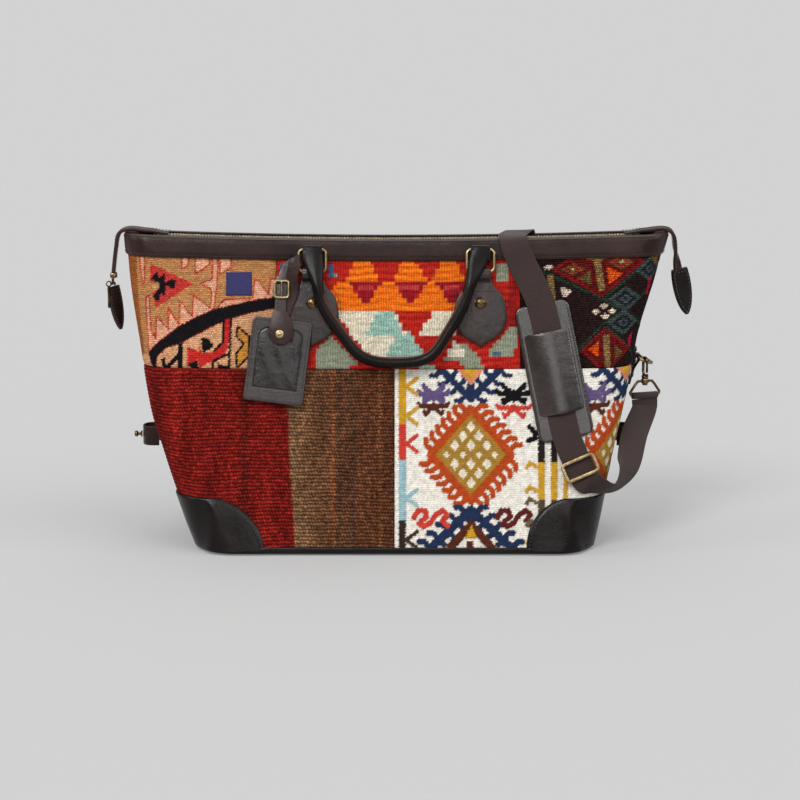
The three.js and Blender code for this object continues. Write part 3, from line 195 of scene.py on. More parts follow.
LEAN_RUN = 90
FACE_HIGH = on_front(HANDLE_SPREAD / 2, RING_LEVEL, 0)
FACE_LOW = on_front(HANDLE_SPREAD / 2, RING_LEVEL - LEAN_RUN, 0)
FACE_LEAN = math.atan2(FACE_HIGH.y - FACE_LOW.y, FACE_HIGH.z - FACE_LOW.z)
LEANED = Matrix.Rotation(-FACE_LEAN, 4, "X")
FRONT_FRAME = Matrix.Translation((0, FACE_HIGH.y, FACE_HIGH.z)) @ LEANED
BACK_FRAME = Matrix.Rotation(math.pi, 4, "Z") @ FRONT_FRAME
TAB_STAND = RELIEF + GAP + 0.2
TAB_FACE = TAB_STAND + LEATHER + 0.4


# Node materials
def linear(colour):
    """An sRGB colour of 0 to 255 as linear light."""
    c = np.asarray(colour, float) / 255
    return np.where(c <= 0.04045, c / 12.92, ((c + 0.055) / 1.055) ** 2.4)


def shade(colour, share=1, lift=0):
    """A node's colour: an sRGB colour, made darker or lighter."""
    return (*linear([share * c + lift for c in colour]), 1)


class Nodes:
    """A short way to write a material's nodes."""

    def __init__(self, name, roughness=0.6):
        self.material = bpy.data.materials.new(name)
        self.material.use_nodes = True
        self.tree = self.material.node_tree
        self.shader = self.tree.nodes["Principled BSDF"]
        self.shader.inputs["Roughness"].default_value = roughness

    def add(self, kind, inputs=None, **settings):
        node = self.tree.nodes.new(kind)
        for key, value in settings.items():
            setattr(node, key, value)
        for key, value in (inputs or {}).items():
            self.put(node.inputs[key], value)
        return node

    def put(self, socket, value):
        if isinstance(value, bpy.types.NodeSocket):
            self.tree.links.new(value, socket)
        else:
            socket.default_value = value

    def maths(self, operation, a, b=0.0):
        return self.add("ShaderNodeMath", {0: a, 1: b}, operation=operation).outputs[0]

    def plus(self, a, b):
        return self.maths("ADD", a, b)

    def times(self, a, b):
        return self.maths("MULTIPLY", a, b)

    def blend(self, factor, a, b, kind="MIX"):
        node = self.add("ShaderNodeMix", data_type="RGBA", blend_type=kind)
        for socket, value in ((0, factor), (6, a), (7, b)):
            self.put(node.inputs[socket], value)
        return node.outputs[2]

    def ramp(self, value, low, high, to_low=0.0, to_high=1.0):
        inputs = {0: value, 1: low, 2: high, 3: to_low, 4: to_high}
        return self.add("ShaderNodeMapRange", inputs).outputs[0]

    def place(self, scale=(1, 1, 1)):
        where = self.add("ShaderNodeTexCoord").outputs["Object"]
        return self.add("ShaderNodeMapping", {"Vector": where, "Scale": scale}).outputs[0]

    def cloth(self):
        """The cloth's own coordinates: the whole, along and up."""
        whole = self.add("ShaderNodeUVMap", uv_map="cloth").outputs[0]
        split = self.add("ShaderNodeSeparateXYZ", {0: whole})
        return whole, split.outputs[0], split.outputs[1]

    def noise(self, where, scale, detail=2.0, roughness=0.55):
        inputs = {"Vector": where, "Scale": scale, "Detail": detail, "Roughness": roughness}
        return self.add("ShaderNodeTexNoise", inputs).outputs["Fac"]

    def bump(self, height, distance, strength=1.0, under=None):
        inputs = {"Height": height, "Distance": distance, "Strength": strength}
        if under is not None:
            inputs["Normal"] = under
        return self.add("ShaderNodeBump", inputs).outputs[0]

    def finish(self, colour=None, roughness=None, normal=None, **constants):
        for key, value in (("Base Color", colour), ("Roughness", roughness), ("Normal", normal)):
            if value is not None:
                self.put(self.shader.inputs[key], value)
        for key, value in constants.items():
            self.shader.inputs[key.replace("_", " ")].default_value = value
        return self.material


BEAD_SHIFT = 0.381
TURN = 2 * math.pi


def kilim_material(name, rib_pitch, yarn_pitch, upright, depth, streak, mottle):
    """Woven wool: ribs, a bead of yarn at each crossing, uneven dye, and painted shade darkening the
    grooves between ribs and beads. upright stands the ribs up.
    """
    n = Nodes(name)
    cloth, along, rise = n.cloth()
    if upright:
        along, rise = rise, along
    ribs = n.times(rise, 1 / MM / rib_pitch)
    ribs = n.plus(ribs, n.ramp(n.noise(cloth, 210, 2, 0.6), 0.2, 0.8, -0.4, 0.4))
    row = n.maths("FLOOR", ribs)
    beads = n.plus(n.times(along, 1 / MM / yarn_pitch), n.times(row, BEAD_SHIFT))
    beads = n.plus(beads, n.times(n.noise(cloth, 260, 1), 0.9))
    cell = n.add("ShaderNodeCombineXYZ", {0: n.maths("FLOOR", beads), 1: row}).outputs[0]
    chance = n.add("ShaderNodeTexWhiteNoise", {0: cell}, noise_dimensions="2D").outputs["Value"]
    rib = n.maths("COSINE", n.times(n.maths("SUBTRACT", ribs, 0.5), TURN))
    bead = n.maths("COSINE", n.times(n.maths("SUBTRACT", beads, 0.5), TURN))
    fuzz = n.noise(cloth, 1100, 3, 0.7)
    stretched = n.add("ShaderNodeMapping", {0: cloth, "Scale": streak}).outputs[0]
    dye = n.noise(stretched, 60, 3, 0.6)
    fleck = n.noise(stretched, 330, 2, 0.6)
    weave = n.plus(n.ramp(rib, -1, 1, 0, 0.5), n.ramp(bead, -1, 1, 0, 0.32))
    weave = n.plus(weave, n.ramp(fuzz, 0.3, 0.7, -0.16, 0.3))
    dyed = n.add("ShaderNodeAttribute", attribute_name="yarn").outputs["Color"]
    light = n.times(n.ramp(dye, 0.3, 0.7, 0.76, 1.16), n.ramp(fleck, 0.3, 0.7, 0.74, 1.2))
    light = n.times(light, n.ramp(chance, 0, 1, 1 - mottle, 1 + mottle))
    # Painted shade: the colour darkens where the weave lies low, in the grooves between ribs and beads, on
    # top of the bump.
    light = n.times(light, n.ramp(weave, 0.1, 0.9, 0.8 - 1.7 * mottle, 1.1 + 0.6 * mottle))
    tone = n.add("ShaderNodeCombineColor", {0: light, 1: light, 2: light}).outputs[0]
    colour = n.blend(1.0, dyed, tone, "MULTIPLY")
    height = n.plus(weave, n.times(chance, mottle))
    normal = n.bump(height, depth * MM, 0.9)
    return n.finish(colour, None, normal, Roughness=0.95, Specular_IOR_Level=0.08)


def leather_material(name, colour, roughness, wrinkle, specular):
    """Dark oiled leather: fine pores, soft creases and an uneven sheen."""
    n = Nodes(name)
    where = n.place()
    cells = {"Vector": where, "Scale": 620.0}
    pores = n.add("ShaderNodeTexVoronoi", cells, feature="DISTANCE_TO_EDGE")
    pore = n.ramp(pores.outputs["Distance"], 0.0, 0.28)
    crease = n.noise(n.place((1, 1, 1.8)), 60, 5, 0.6)
    fold = n.maths("SUBTRACT", n.noise(n.place((2.4, 1, 0.8)), 26, 3, 0.5), 0.5)
    fold = n.maths("ABSOLUTE", fold)
    tone = n.noise(where, 24, 4, 0.6)
    grain = n.plus(n.times(pore, 0.2), n.times(n.noise(where, 1500, 2), 0.1))
    soft = n.plus(crease, n.ramp(fold, 0, 0.03, 0, 0.1))
    normal = n.bump(soft, 1.6 * MM, wrinkle, n.bump(grain, 0.5 * MM, 0.45))
    base = n.blend(n.ramp(tone, 0.3, 0.7), shade(colour, 0.72), shade(colour, 1.25, 3))
    patchy = n.plus(tone, n.times(crease, 0.6))
    gloss = n.ramp(patchy, 0.5, 1.1, 0.74 * roughness, 1.4 * roughness)
    return n.finish(base, gloss, normal, Specular_IOR_Level=specular)


def brass_material(name, colour, patina, roughness):
    """Antique brass, bright where it is rubbed and brown in the hollows."""
    n = Nodes(name)
    cloud = n.noise(n.place(), 130, 4, 0.65)
    scratch = n.noise(n.place((1, 1, 9)), 420, 2)
    bare = n.add("ShaderNodeNewGeometry").outputs["Pointiness"]
    rubbed = n.plus(n.ramp(cloud, 0.35, 0.65, 0.1, 0.8), n.ramp(bare, 0.5, 0.6, 0, 0.4))
    base = n.blend(rubbed, shade(patina), shade(colour))
    gloss = n.ramp(cloud, 0.3, 0.7, roughness + 0.16, roughness - 0.04)
    return n.finish(base, gloss, n.bump(scratch, 0.05 * MM, 0.35), Metallic=1.0)


def webbing_material(name, colour):
    """Tightly woven cotton webbing: twill ridges with pale flecks, and painted shade darkening the grooves
    between the ridges.
    """
    n = Nodes(name)
    tape, across, along = n.cloth()
    slant = n.plus(across, n.times(along, 0.8))
    twill = n.maths("SINE", n.times(slant, TURN / (1.5 * MM)))
    cross = n.maths("SINE", n.times(along, TURN / (1.1 * MM)))
    fleck = n.noise(tape, 900, 2, 0.7)
    tone = n.noise(tape, 40, 2)
    height = n.plus(n.ramp(twill, -1, 1, 0, 0.6), n.ramp(cross, -1, 1, 0, 0.3))
    dark = shade(colour, 0.66)
    # Pale flecks, and painted shade: the colour darkens where the twill lies low.
    fleck_and_groove_shade = n.times(n.ramp(fleck, 0.38, 0.62), n.ramp(height, 0, 0.9, 0.35, 1))
    base = n.blend(fleck_and_groove_shade, dark, shade(colour, 1.4, 8))
    base = n.blend(n.ramp(tone, 0.35, 0.65, 0, 0.2), base, dark)
    return n.finish(base, None, n.bump(height, 0.5 * MM, 0.8), Roughness=0.88, Sheen_Weight=0.1)


def cloth_material(name, colour, pitch, roughness=0.9):
    """Plain woven cloth for the label, the zip tapes, the thread and the lining, with painted shade where
    its weave lies low.
    """
    n = Nodes(name)
    where = n.place()
    waves = {"Vector": where, "Scale": 0.32 / MM / pitch, "Distortion": 1.0}
    weave = n.add("ShaderNodeTexWave", waves, bands_direction="DIAGONAL").outputs["Fac"]
    fleck = n.noise(where, 900, 2)
    # Flecks, and painted shade: the colour is darker where the weave lies low and lighter where it rises.
    fleck_and_groove_shade = n.times(weave, n.ramp(fleck, 0.3, 0.7, 0.5, 1))
    base = n.blend(fleck_and_groove_shade, shade(colour, 0.7), shade(colour, 1.2, 3))
    return n.finish(base, None, n.bump(weave, 0.2 * MM, 0.6), Roughness=roughness)


DARK_LEATHER = leather_material("dark_leather", (40, 26, 22), 0.25, 0.2, 0.16)
BLACK_LEATHER = leather_material("black_leather", (18, 13, 12), 0.25, 0.34, 0.2)
TAB_LEATHER = leather_material("tab_leather", (38, 28, 25), 0.24, 0.4, 0.42)
PAD_LEATHER = leather_material("pad_leather", (34, 25, 22), 0.2, 0.18, 0.86)
TAG_LEATHER = leather_material("tag_leather", (38, 30, 29), 0.24, 0.34, 0.56)
FLAP_LEATHER = leather_material("flap_leather", (24, 18, 17), 0.22, 0.4, 0.48)
HANDLE_LEATHER = leather_material("handle_leather", (14, 9, 7), 0.24, 0.14, 0.13)
STRAP_LEATHER = leather_material("strap_leather", (46, 28, 25), 0.3, 0.24, 0.26)
EDGE_LEATHER = leather_material("edge_leather", (68, 39, 32), 0.44, 0.2, 0.24)
BRASS = brass_material("antique_brass", (196, 176, 132), (104, 84, 56), 0.26)
DARK_BRASS = brass_material("dark_brass", (128, 106, 74), (44, 35, 28), 0.24)
ZIP_BRASS = brass_material("zip_brass", (206, 190, 160), (110, 92, 70), 0.34)
WEB = webbing_material("webbing", (44, 27, 24))
ZIP_TAPE = cloth_material("zip_tape", (40, 33, 30), 1.0)
THREAD = cloth_material("thread", (90, 79, 72), 0.8, 0.7)
BAND_THREAD = cloth_material("band_thread", (66, 55, 50), 0.8, 0.7)
DARK_THREAD = cloth_material("dark_thread", (30, 24, 22), 0.8, 0.7)
LABEL = cloth_material("label_cloth", (44, 42, 92), 0.7)
LINING = cloth_material("lining_cloth", (138, 122, 96), 1.2)
BOARD = cloth_material("board", (141, 122, 92), 2.0)
FLAT_WEAVE = kilim_material("kilim_flat_weave", 1.9, 2.6, False, 0.6, (1, 7, 1), 0.21)
SLIT_WEAVE = kilim_material("kilim_slit_weave", 2.6, 1.5, True, 0.6, (1.4, 5, 1), 0.15)
SUMAK_WEAVE = kilim_material("kilim_wrapped_weave", 2.3, 1.9, False, 1.0, (2, 2, 1), 0.38)
BROCADE_WEAVE = kilim_material("kilim_brocade", 1.9, 1.3, False, 0.4, (3, 3, 1), 0.07)
RIB_WEAVE = kilim_material("kilim_ribbed", RIB_PITCH, 3.1, False, 1.0, (5, 1.4, 1), 0.38)


# Meshes, in millimetres
def placed(points, matrix):
    """Points carried by a matrix."""
    m = np.array(matrix)
    return np.asarray(points, float) @ m[:3, :3].T + m[:3, 3]


def carried(way, matrix):
    """A direction carried by a matrix."""
    return placed([way], matrix.to_3x3().to_4x4())[0]


def link(name, form, material, nodes=(), sharp=None, at=None, body="bag"):
    """A finished piece on its body: form is (points, faces), at carries it, nodes are its solids."""
    points, faces = form
    if at is not None:
        points = placed(points, at)
    mesh = bpy.data.meshes.new(name)
    mesh.from_pydata((np.asarray(points, float) * MM).tolist(), [], [tuple(f) for f in faces])
    mesh.polygons.foreach_set("use_smooth", [True] * len(mesh.polygons))
    if sharp is not None:
        mesh.set_sharp_from_angle(angle=math.radians(sharp))
    mesh.materials.append(material)
    obj = bpy.data.objects.new(name, mesh)
    bpy.context.scene.collection.objects.link(obj)
    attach(obj, body)
    if nodes:
        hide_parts(*nodes)
    return obj


def quads(across, along, ring=False, loop=False):
    """Faces of a grid: along rows of across points, where ring joins each row and loop joins the rows."""
    rows, columns = (along if loop else along - 1), (across if ring else across - 1)
    i, j = np.meshgrid(np.arange(rows), np.arange(columns))
    i, j = i.ravel(), j.ravel()
    k, n = (j + 1) % across, (i + 1) % along
    return np.stack([i * across + j, i * across + k, n * across + k, n * across + j], -1).tolist()


def flip(faces):
    return [f[::-1] for f in faces]


def outward(form, flipped):
    """A form with its faces turned over where flipped."""
    points, faces = form
    return points, flip(faces) if flipped else faces


def caps(count, rows):
    """The two end faces of a stack of rings."""
    last = (rows - 1) * count
    return [list(range(count))[::-1], list(range(last, last + count))]


def stack(rings):
    """Rings of points as one closed form."""
    count = len(rings[0])
    return np.vstack(rings), quads(count, len(rings), ring=True) + caps(count, len(rings))


def stood(flat, out):
    """Flat (x, z) points stood up in the XZ plane, out of the face."""
    return np.stack([flat[:, 0], np.broadcast_to(-out, len(flat)), flat[:, 1]], -1)


def laid(flat, z):
    """Flat (x, y) points laid level."""
    return np.column_stack([flat, np.full(len(flat), z)])


def rimmed(rim, out, *others):
    """Grids with one more row all round, where out drops to the rim."""
    out, *others = (np.pad(a, 1, mode="edge") for a in (out, *others))
    out[[0, -1]] = rim
    out[:, [0, -1]] = rim
    return out, *others


def unit(v):
    return v / np.maximum(np.linalg.norm(v, axis=-1, keepdims=True), 1e-12)


def heading(line):
    """The way a line runs at each of its points."""
    return unit(np.gradient(line, axis=0))


def curve(points, steps):
    """A smooth line through given points, with equal steps in each stretch."""
    p = np.asarray(points, float)
    p = np.vstack([2 * p[0] - p[1], p, 2 * p[-1] - p[-2]])
    line = []
    for a, b, c, d in zip(p, p[1:], p[2:], p[3:]):
        gaps = [max(np.linalg.norm(v - u) ** 0.5, 1e-4) for u, v in ((a, b), (b, c), (c, d))]
        start = ((b - a) / gaps[0] - (c - a) / (gaps[0] + gaps[1]) + (c - b) / gaps[1]) * gaps[1]
        stop = ((c - b) / gaps[1] - (d - b) / (gaps[1] + gaps[2]) + (d - c) / gaps[2]) * gaps[1]
        t = (np.arange(steps) / steps)[:, None]
        cubic = (2 * b - 2 * c + start + stop) * t**3 + (3 * c - 3 * b - 2 * start - stop) * t**2
        line.append(cubic + start * t + b)
    return np.vstack(line + [p[-2]])


def curves(route, steps):
    """Two smooth lines through a route of (place, facing) pairs."""
    return [curve(each, steps) for each in zip(*route)]


def run(line):
    """Distance along a line to each of its points."""
    return np.concatenate([[0], np.cumsum(np.linalg.norm(np.diff(line, axis=0), axis=1))])


def evenly(line, count, *others):
    """A line, and others that go with it, at equal distances along it."""
    at = run(line)
    to = np.linspace(0, at[-1], count)
    again = []
    for v in (line, *others):
        again.append(np.stack([np.interp(to, at, v[:, k]) for k in range(v.shape[1])], -1))
    return again if others else again[0]


def sweep(path, facing, section, closed=False):
    """A section carried along a path. A section point is (across, out), and out lies towards facing."""
    path = np.asarray(path, float)
    facing = np.broadcast_to(np.asarray(facing, float), path.shape)
    if closed:
        along = unit(np.roll(path, -1, 0) - np.roll(path, 1, 0))
    else:
        along = heading(path)
    across = unit(np.cross(along, facing))
    out = np.cross(across, along)
    section = np.broadcast_to(section, (len(path), *np.shape(section)[-2:]))
    rings = path[:, None] + across[:, None] * section[..., :1] + out[:, None] * section[..., 1:]
    count = section.shape[1]
    faces = quads(count, len(path), ring=True, loop=closed)
    return rings.reshape(-1, 3), faces if closed else faces + caps(count, len(path))


def folded(x, places, steps, section):
    """A strip that folds about the X axis by way of (out, z) places."""
    line = curve([(x, -out, z) for out, z in places], steps)
    return sweep(line, np.cross([1, 0, 0], heading(line)), section)


def join(*parts):
    """Several (points, faces) as one."""
    points, faces, start = [], [], 0
    for p, f in parts:
        points.append(np.asarray(p, float))
        faces += [[i + start for i in face] for face in f]
        start += len(p)
    return np.vstack(points), faces


def circle(radius, sides=12):
    q = np.arange(sides) * 2 * np.pi / sides
    return np.stack([radius * np.cos(q), radius * np.sin(q)], -1)


def arc(radius, start, stop, count, across=0, up=0):
    """Places on a part of a circle round (across, up)."""
    turns = np.linspace(start, stop, count)
    return [(across + radius * math.cos(a), up + radius * math.sin(a)) for a in turns]


def rounded(wide, tall, corner, steps=4):
    """A rounded oblong round the origin, counter-clockwise."""
    points = []
    for k, (i, j) in enumerate(((1, 1), (-1, 1), (-1, -1), (1, -1))):
        q = np.pi / 2 * (k + np.arange(steps + 1) / steps)
        middle = np.array([i * (wide / 2 - corner), j * (tall / 2 - corner)])
        points.append(middle + corner * np.stack([np.cos(q), np.sin(q)], -1))
    return np.vstack(points)


def bow(*corners, steps=10):
    """A line of quadratic bends: a start, then a control point and an end for each bend."""
    points = [np.array(corners[0], float)]
    for control, end in zip(corners[1::2], corners[2::2]):
        a, b, c = points[-1], np.array(control, float), np.array(end, float)
        for t in np.arange(1, steps + 1) / steps:
            points.append((1 - t) ** 2 * a + 2 * t * (1 - t) * b + t * t * c)
    return np.array(points)


def mirrored(half):
    """A half outline and its mirror image, as one outline."""
    return np.vstack([half, half[::-1] * (-1, 1)])


def inset(outline, by):
    """A closed outline moved in along its own normals."""
    after = np.roll(outline, -1, 0)
    way = unit(after - np.roll(outline, 1, 0))
    normal = np.stack([-way[:, 1], way[:, 0]], -1)
    area = np.sum(outline[:, 0] * after[:, 1] - after[:, 0] * outline[:, 1])
    return outline + normal * by * np.sign(area)


def plate(outline, near, far, edge=0.7):
    """A leather or metal plate in the XZ plane, from near to far out of the face, with a rounded edge."""
    stages = [(0, near), (0, far - edge), (0.3 * edge, far - 0.3 * edge), (edge, far)]
    return stack([stood(inset(outline, inward), out) for inward, out in stages])


def cushion(outline, middle, near, far, crown, edge=0.9):
    """A soft plate in the XZ plane with a rounded edge, whose face rises by crown towards its middle."""
    face = inset(outline, edge)
    eased = inset(outline, 0.3 * edge)
    rings = [(outline, near), (outline, far - edge), (eased, far - 0.3 * edge), (face, far)]
    for share in (0.92, 0.8, 0.65, 0.5, 0.34, 0.18, 0.03):
        rings.append((middle + (face - middle) * share, far + crown * (1 - share**2)))
    return stack([stood(flat, out) for flat, out in rings])


def dome(profile, sides=24):
    """A turned form from (radius, out) pairs, standing out of the face along -Y."""
    return stack([stood(circle(r, sides), h) for r, h in profile])


def turned(profile, sides=18):
    """A turned form along Z from (radius, z) pairs."""
    points, faces = dome([(r, -z) for r, z in profile], sides)
    return points[:, [0, 2, 1]], flip(faces)


STITCH_TAPER = np.array([0.15, 1, 1, 0.15])[:, None, None]


def stitches(name, runs, material=THREAD, pitch=3.3, long=2.4, thick=0.75, body="bag"):
    """Thread along runs of (line, facing): one small rounded stitch at each pitch."""
    size = STITCH_TAPER * circle(thick / 2, 5)
    parts = []
    for line, facing in runs:
        line = np.asarray(line, float)
        facing = np.broadcast_to(np.asarray(facing, float), line.shape)
        line, facing = evenly(line, max(2, int(run(line)[-1] / pitch)), facing)
        for p, t, n in zip(line, heading(line), unit(facing)):
            ends = [p - t * long / 2, p - t * long / 4, p + t * long / 4, p + t * long / 2]
            parts.append(sweep(ends, n, size))
    return link(name, join(*parts), material, body=body)


def set_cloth(obj, s, z, weave=None):
    """The cloth's own coordinates, and its painted yarn, on the points of a piece."""
    mesh = obj.data
    corner = np.empty(len(mesh.loops), int)
    mesh.loops.foreach_get("vertex_index", corner)
    flat = np.stack([np.ravel(s), np.ravel(z)], -1) * MM
    mesh.uv_layers.new(name="cloth").data.foreach_set("uv", flat[corner].ravel())
    if weave is not None:
        colour = np.concatenate([weave, np.ones((*weave.shape[:-1], 1))], -1)
        yarn = mesh.attributes.new("yarn", "FLOAT_COLOR", "POINT")
        yarn.data.foreach_set("color", colour.ravel())


# Shoulder strap: one length of webbing from clip to clip, by way of the front, the zip and the back
STRAP_OUT = RELIEF + GAP + LEATHER + 0.5 + GAP + WEBBING_THICK / 2
OUT_OF_FACE = Vector((0, -math.cos(FACE_LEAN), math.sin(FACE_LEAN)))
OUT_OF_BACK = Vector((0, math.cos(FACE_LEAN), math.sin(FACE_LEAN)))
RIDGE = top_at(STRAP_CREST) + GAP + WEBBING_THICK / 2 + 1
LIP = TOP_DEPTH / 2 + LEATHER + 1.6
SEWN = 3.4
PAD_MIDDLE = ((PAD_FOOT[0] + PAD_HEAD[0]) / 2, (PAD_FOOT[1] + PAD_HEAD[1]) / 2)
STRIP_OUT = 0.7
STRIP_FACE = STRIP_OUT + LEATHER
D_STAND, D_RUN = GAP + 0.5, 30
CHAPE_WIDTH = 14
D_FOLD = D_WIRE / 2 + GAP + 1.7
D_TILT = {1: -0.18, -1: -1.1}


def d_ring_frame(end):
    """Where a D-ring's chape sits: x out of the end, z up along it."""
    top = on_end(end, 0, D_LEVEL, STRIP_FACE)
    under = on_end(end, 0, D_LEVEL - D_RUN, STRIP_FACE)
    lean = math.atan((abs(top.x + slouch(D_LEVEL)) - abs(under.x + slouch(D_LEVEL))) / D_RUN)
    turn = Matrix.Rotation(0 if end > 0 else math.pi, 4, "Z") @ Matrix.Rotation(lean, 4, "Y")
    return Matrix.Translation(top) @ turn


def d_ring_line(end, steps):
    """The D-ring's wire: a bow and its straight bar, in the chape's frame."""
    q = np.pi * np.arange(steps + 1) / steps
    tilt = D_TILT[end]
    outward = np.array([math.cos(tilt), 0, math.sin(tilt)])
    bar = np.array([D_STAND + D_FOLD, 0, 0])
    reach_out = (D_REACH * np.abs(np.sin(q)) ** 0.8)[:, None] * outward
    curved = bar + reach_out + np.outer(-np.cos(q) * D_WIDTH / 2, [0, 1, 0])
    straight = bar + np.outer(np.linspace(0.5, -0.5, 8)[1:-1] * D_WIDTH, [0, 1, 0])
    return np.vstack([curved, straight]), np.cross(outward, [0, 1, 0])


def clip_frames(end, pull, eye_turn):
    """The hook's and the eye's frames, hung from the D-ring along pull."""
    ring, _ = d_ring_line(end, 8)
    ring = [Vector(p) for p in placed(ring[:3], d_ring_frame(end))]
    swing = Vector((0, 0, -1)).rotation_difference(pull).to_matrix().to_4x4()
    hang = Matrix.Translation(ring[1]) @ swing
    wire = hang.to_3x3().inverted() @ (ring[2] - ring[0])
    hook = hang @ Matrix.Rotation(math.atan2(-wire.x, wire.y), 4, "Z")
    return hook, hang @ Matrix.Rotation(eye_turn, 4, "Z")


LEFT_PULL = Vector((0.1, 0.99, -0.12)).normalized()
RIGHT_CLIP = clip_frames(1, Vector((0, 0, -1)), EYE_TURN)
LEFT_CLIP = clip_frames(-1, LEFT_PULL, math.pi / 2)
HOOK_HALF = HOOK_WIDTH / 2 - 1.5
HOOK_CROWN = -0.9
HOOK_THROAT = HOOK_CROWN - HOOK_EYE + HOOK_HALF + 4
HOOK_POST = HOOK_THROAT - 3.2
EYE_TALL, EYE_WIRE, EYE_DROP = 15, 2.8, 6.3
EYE_BAR = HOOK_POST - EYE_DROP - EYE_TALL
RIGHT_BAR = RIGHT_CLIP[1] @ Vector((0, 0, EYE_BAR))
LEFT_BAR = LEFT_CLIP[1] @ Vector((0, 0, EYE_BAR))


def strap_route():
    """Places of the webbing's middle, each with the way its face looks."""
    up = Vector((0, 0, 1))
    right_face = Vector((math.sin(EYE_TURN), -math.cos(EYE_TURN), 0))
    left_face = LEFT_CLIP[1].to_3x3() @ Vector((0, 1, 0))

    def by(bar, place, face):
        return bar + Vector(place), Vector(face).normalized()

    def front(x, z, out=STRAP_OUT):
        return on_front(x, z, out), OUT_OF_FACE

    def back(x, z, out=STRAP_OUT):
        p = on_front(x, z, out)
        return Vector((p.x, -p.y, p.z)), OUT_OF_BACK

    def over(x, y, z, face_y, face_z):
        return Vector((x, y, RIDGE + z)), Vector((0, face_y, face_z)).normalized()

    return [
        (RIGHT_BAR - SEWN * up, right_face),
        (RIGHT_BAR - 13 * up, right_face),
        by(RIGHT_BAR, (-12, -20, -38), (0.2, -1, 0.1)),
        by(RIGHT_BAR, (-20, -42, -63), (0.35, -1, 0.05)),
        by(RIGHT_BAR, (-29, -57, -77), (0.7, -0.7, -0.4)),
        by(RIGHT_BAR, (-42, -71, -84.5), (0.15, -0.5, -0.9)),
        by(RIGHT_BAR, (-57, -79, -79), (-0.3, -0.9, -0.45)),
        front(STRAP_FOOT[0] + 5, STRAP_FOOT[1] - 10, STRAP_OUT + 0.4),
        front(*STRAP_FOOT),
        front(*PAD_FOOT),
        front(*PAD_MIDDLE),
        front(*PAD_HEAD),
        front(STRAP_CREST + 9, HEIGHT - 27),
        over(STRAP_CREST + 3, -LIP - 4.5, -10, -1, 0.5),
        over(STRAP_CREST + 1, -LIP - 1.2, -1.6, -1, 1),
        over(STRAP_CREST, -LIP + 8, 1.2, -0.2, 1),
        over(STRAP_CREST + 3, 0, 0.6, 0, 1),
        over(STRAP_BACK - 5, LIP - 8, 1.2, 0.2, 1),
        over(STRAP_BACK - 3, LIP + 1.2, -1.6, 1, 1),
        over(STRAP_BACK - 2, LIP + 4.5, -10, 1, 0.5),
        back(STRAP_BACK, HEIGHT - 27),
        back(STRAP_BACK, ROW_SEAM + 20),
        back(STRAP_BACK - 22, ROW_SEAM - 50),
        back(STRAP_BACK - 84, ROW_SEAM - 92),
        back(-26, 82, STRAP_OUT + 1),
        back(-108, 96, STRAP_OUT + 2),
        back(-172, 136, STRAP_OUT + 3),
        by(LEFT_BAR, (33, 27, -16), (-0.4, 1, 0.1)),
        by(LEFT_BAR, (11, 19, -5), (-0.85, 0.55, 0.05)),
        (LEFT_BAR + 8 * LEFT_PULL, left_face),
        (LEFT_BAR + SEWN * LEFT_PULL, left_face),
    ]


STRAP_STEPS = 420
SELVEDGE = 1.5


def make_strap():
    path, facing = curves(strap_route(), 16)
    path, facing = evenly(path, STRAP_STEPS, facing)
    section = rounded(WEBBING, WEBBING_THICK, 0.8, 3)
    rib = np.abs(section[:, 0]) < WEBBING / 2 - SELVEDGE
    section[rib, 1] *= 0.92
    strap = link("shoulder_webbing", sweep(path, facing, section), WEB, ["shoulder_strap"])
    set_cloth(strap, np.tile(section[:, 0], len(path)), np.repeat(run(path), len(section)))
    return strap, path


def declare_strap():
    """The names of the pieces on the strap, a free webbing between the two clips: the pad, the adjuster and
    the clips. The list is only built here and not used.
    """
    on_it = ["strap_adjuster_brass", "shoulder_pad_leather", "shoulder_pad_cover_leather"]
    on_it += ["shoulder_pad_stitching"]
    for hand in ("left", "right"):
        clip = ("strap_eye_brass", "hook_brass", "hook_gate_brass", "webbing_fold")
        on_it += [f"{hand}_{piece}" for piece in clip]


STRAP, STRAP_PATH = make_strap()


# Painting of woven figures
def inside(s, z, points):
    """Which places lie in a polygon."""
    hit = np.zeros(s.shape, bool)
    for (s0, z0), (s1, z1) in zip(points, points[1:] + points[:1]):
        if z0 == z1:
            continue
        crosses = (z0 > z) != (z1 > z)
        hit ^= crosses & (s < s0 + (z - z0) * (s1 - s0) / (z1 - z0))
    return hit


def near(s, z, points):
    """Distance of places from a line of points."""
    best = np.full(s.shape, 1e9)
    for (s0, z0), (s1, z1) in zip(points, points[1:]):
        ds, dz = s1 - s0, z1 - z0
        t = np.clip(((s - s0) * ds + (z - z0) * dz) / max(ds * ds + dz * dz, 1e-9), 0, 1)
        best = np.minimum(best, np.hypot(s - s0 - t * ds, z - z0 - t * dz))
    return best


WOBBLE = 0.35


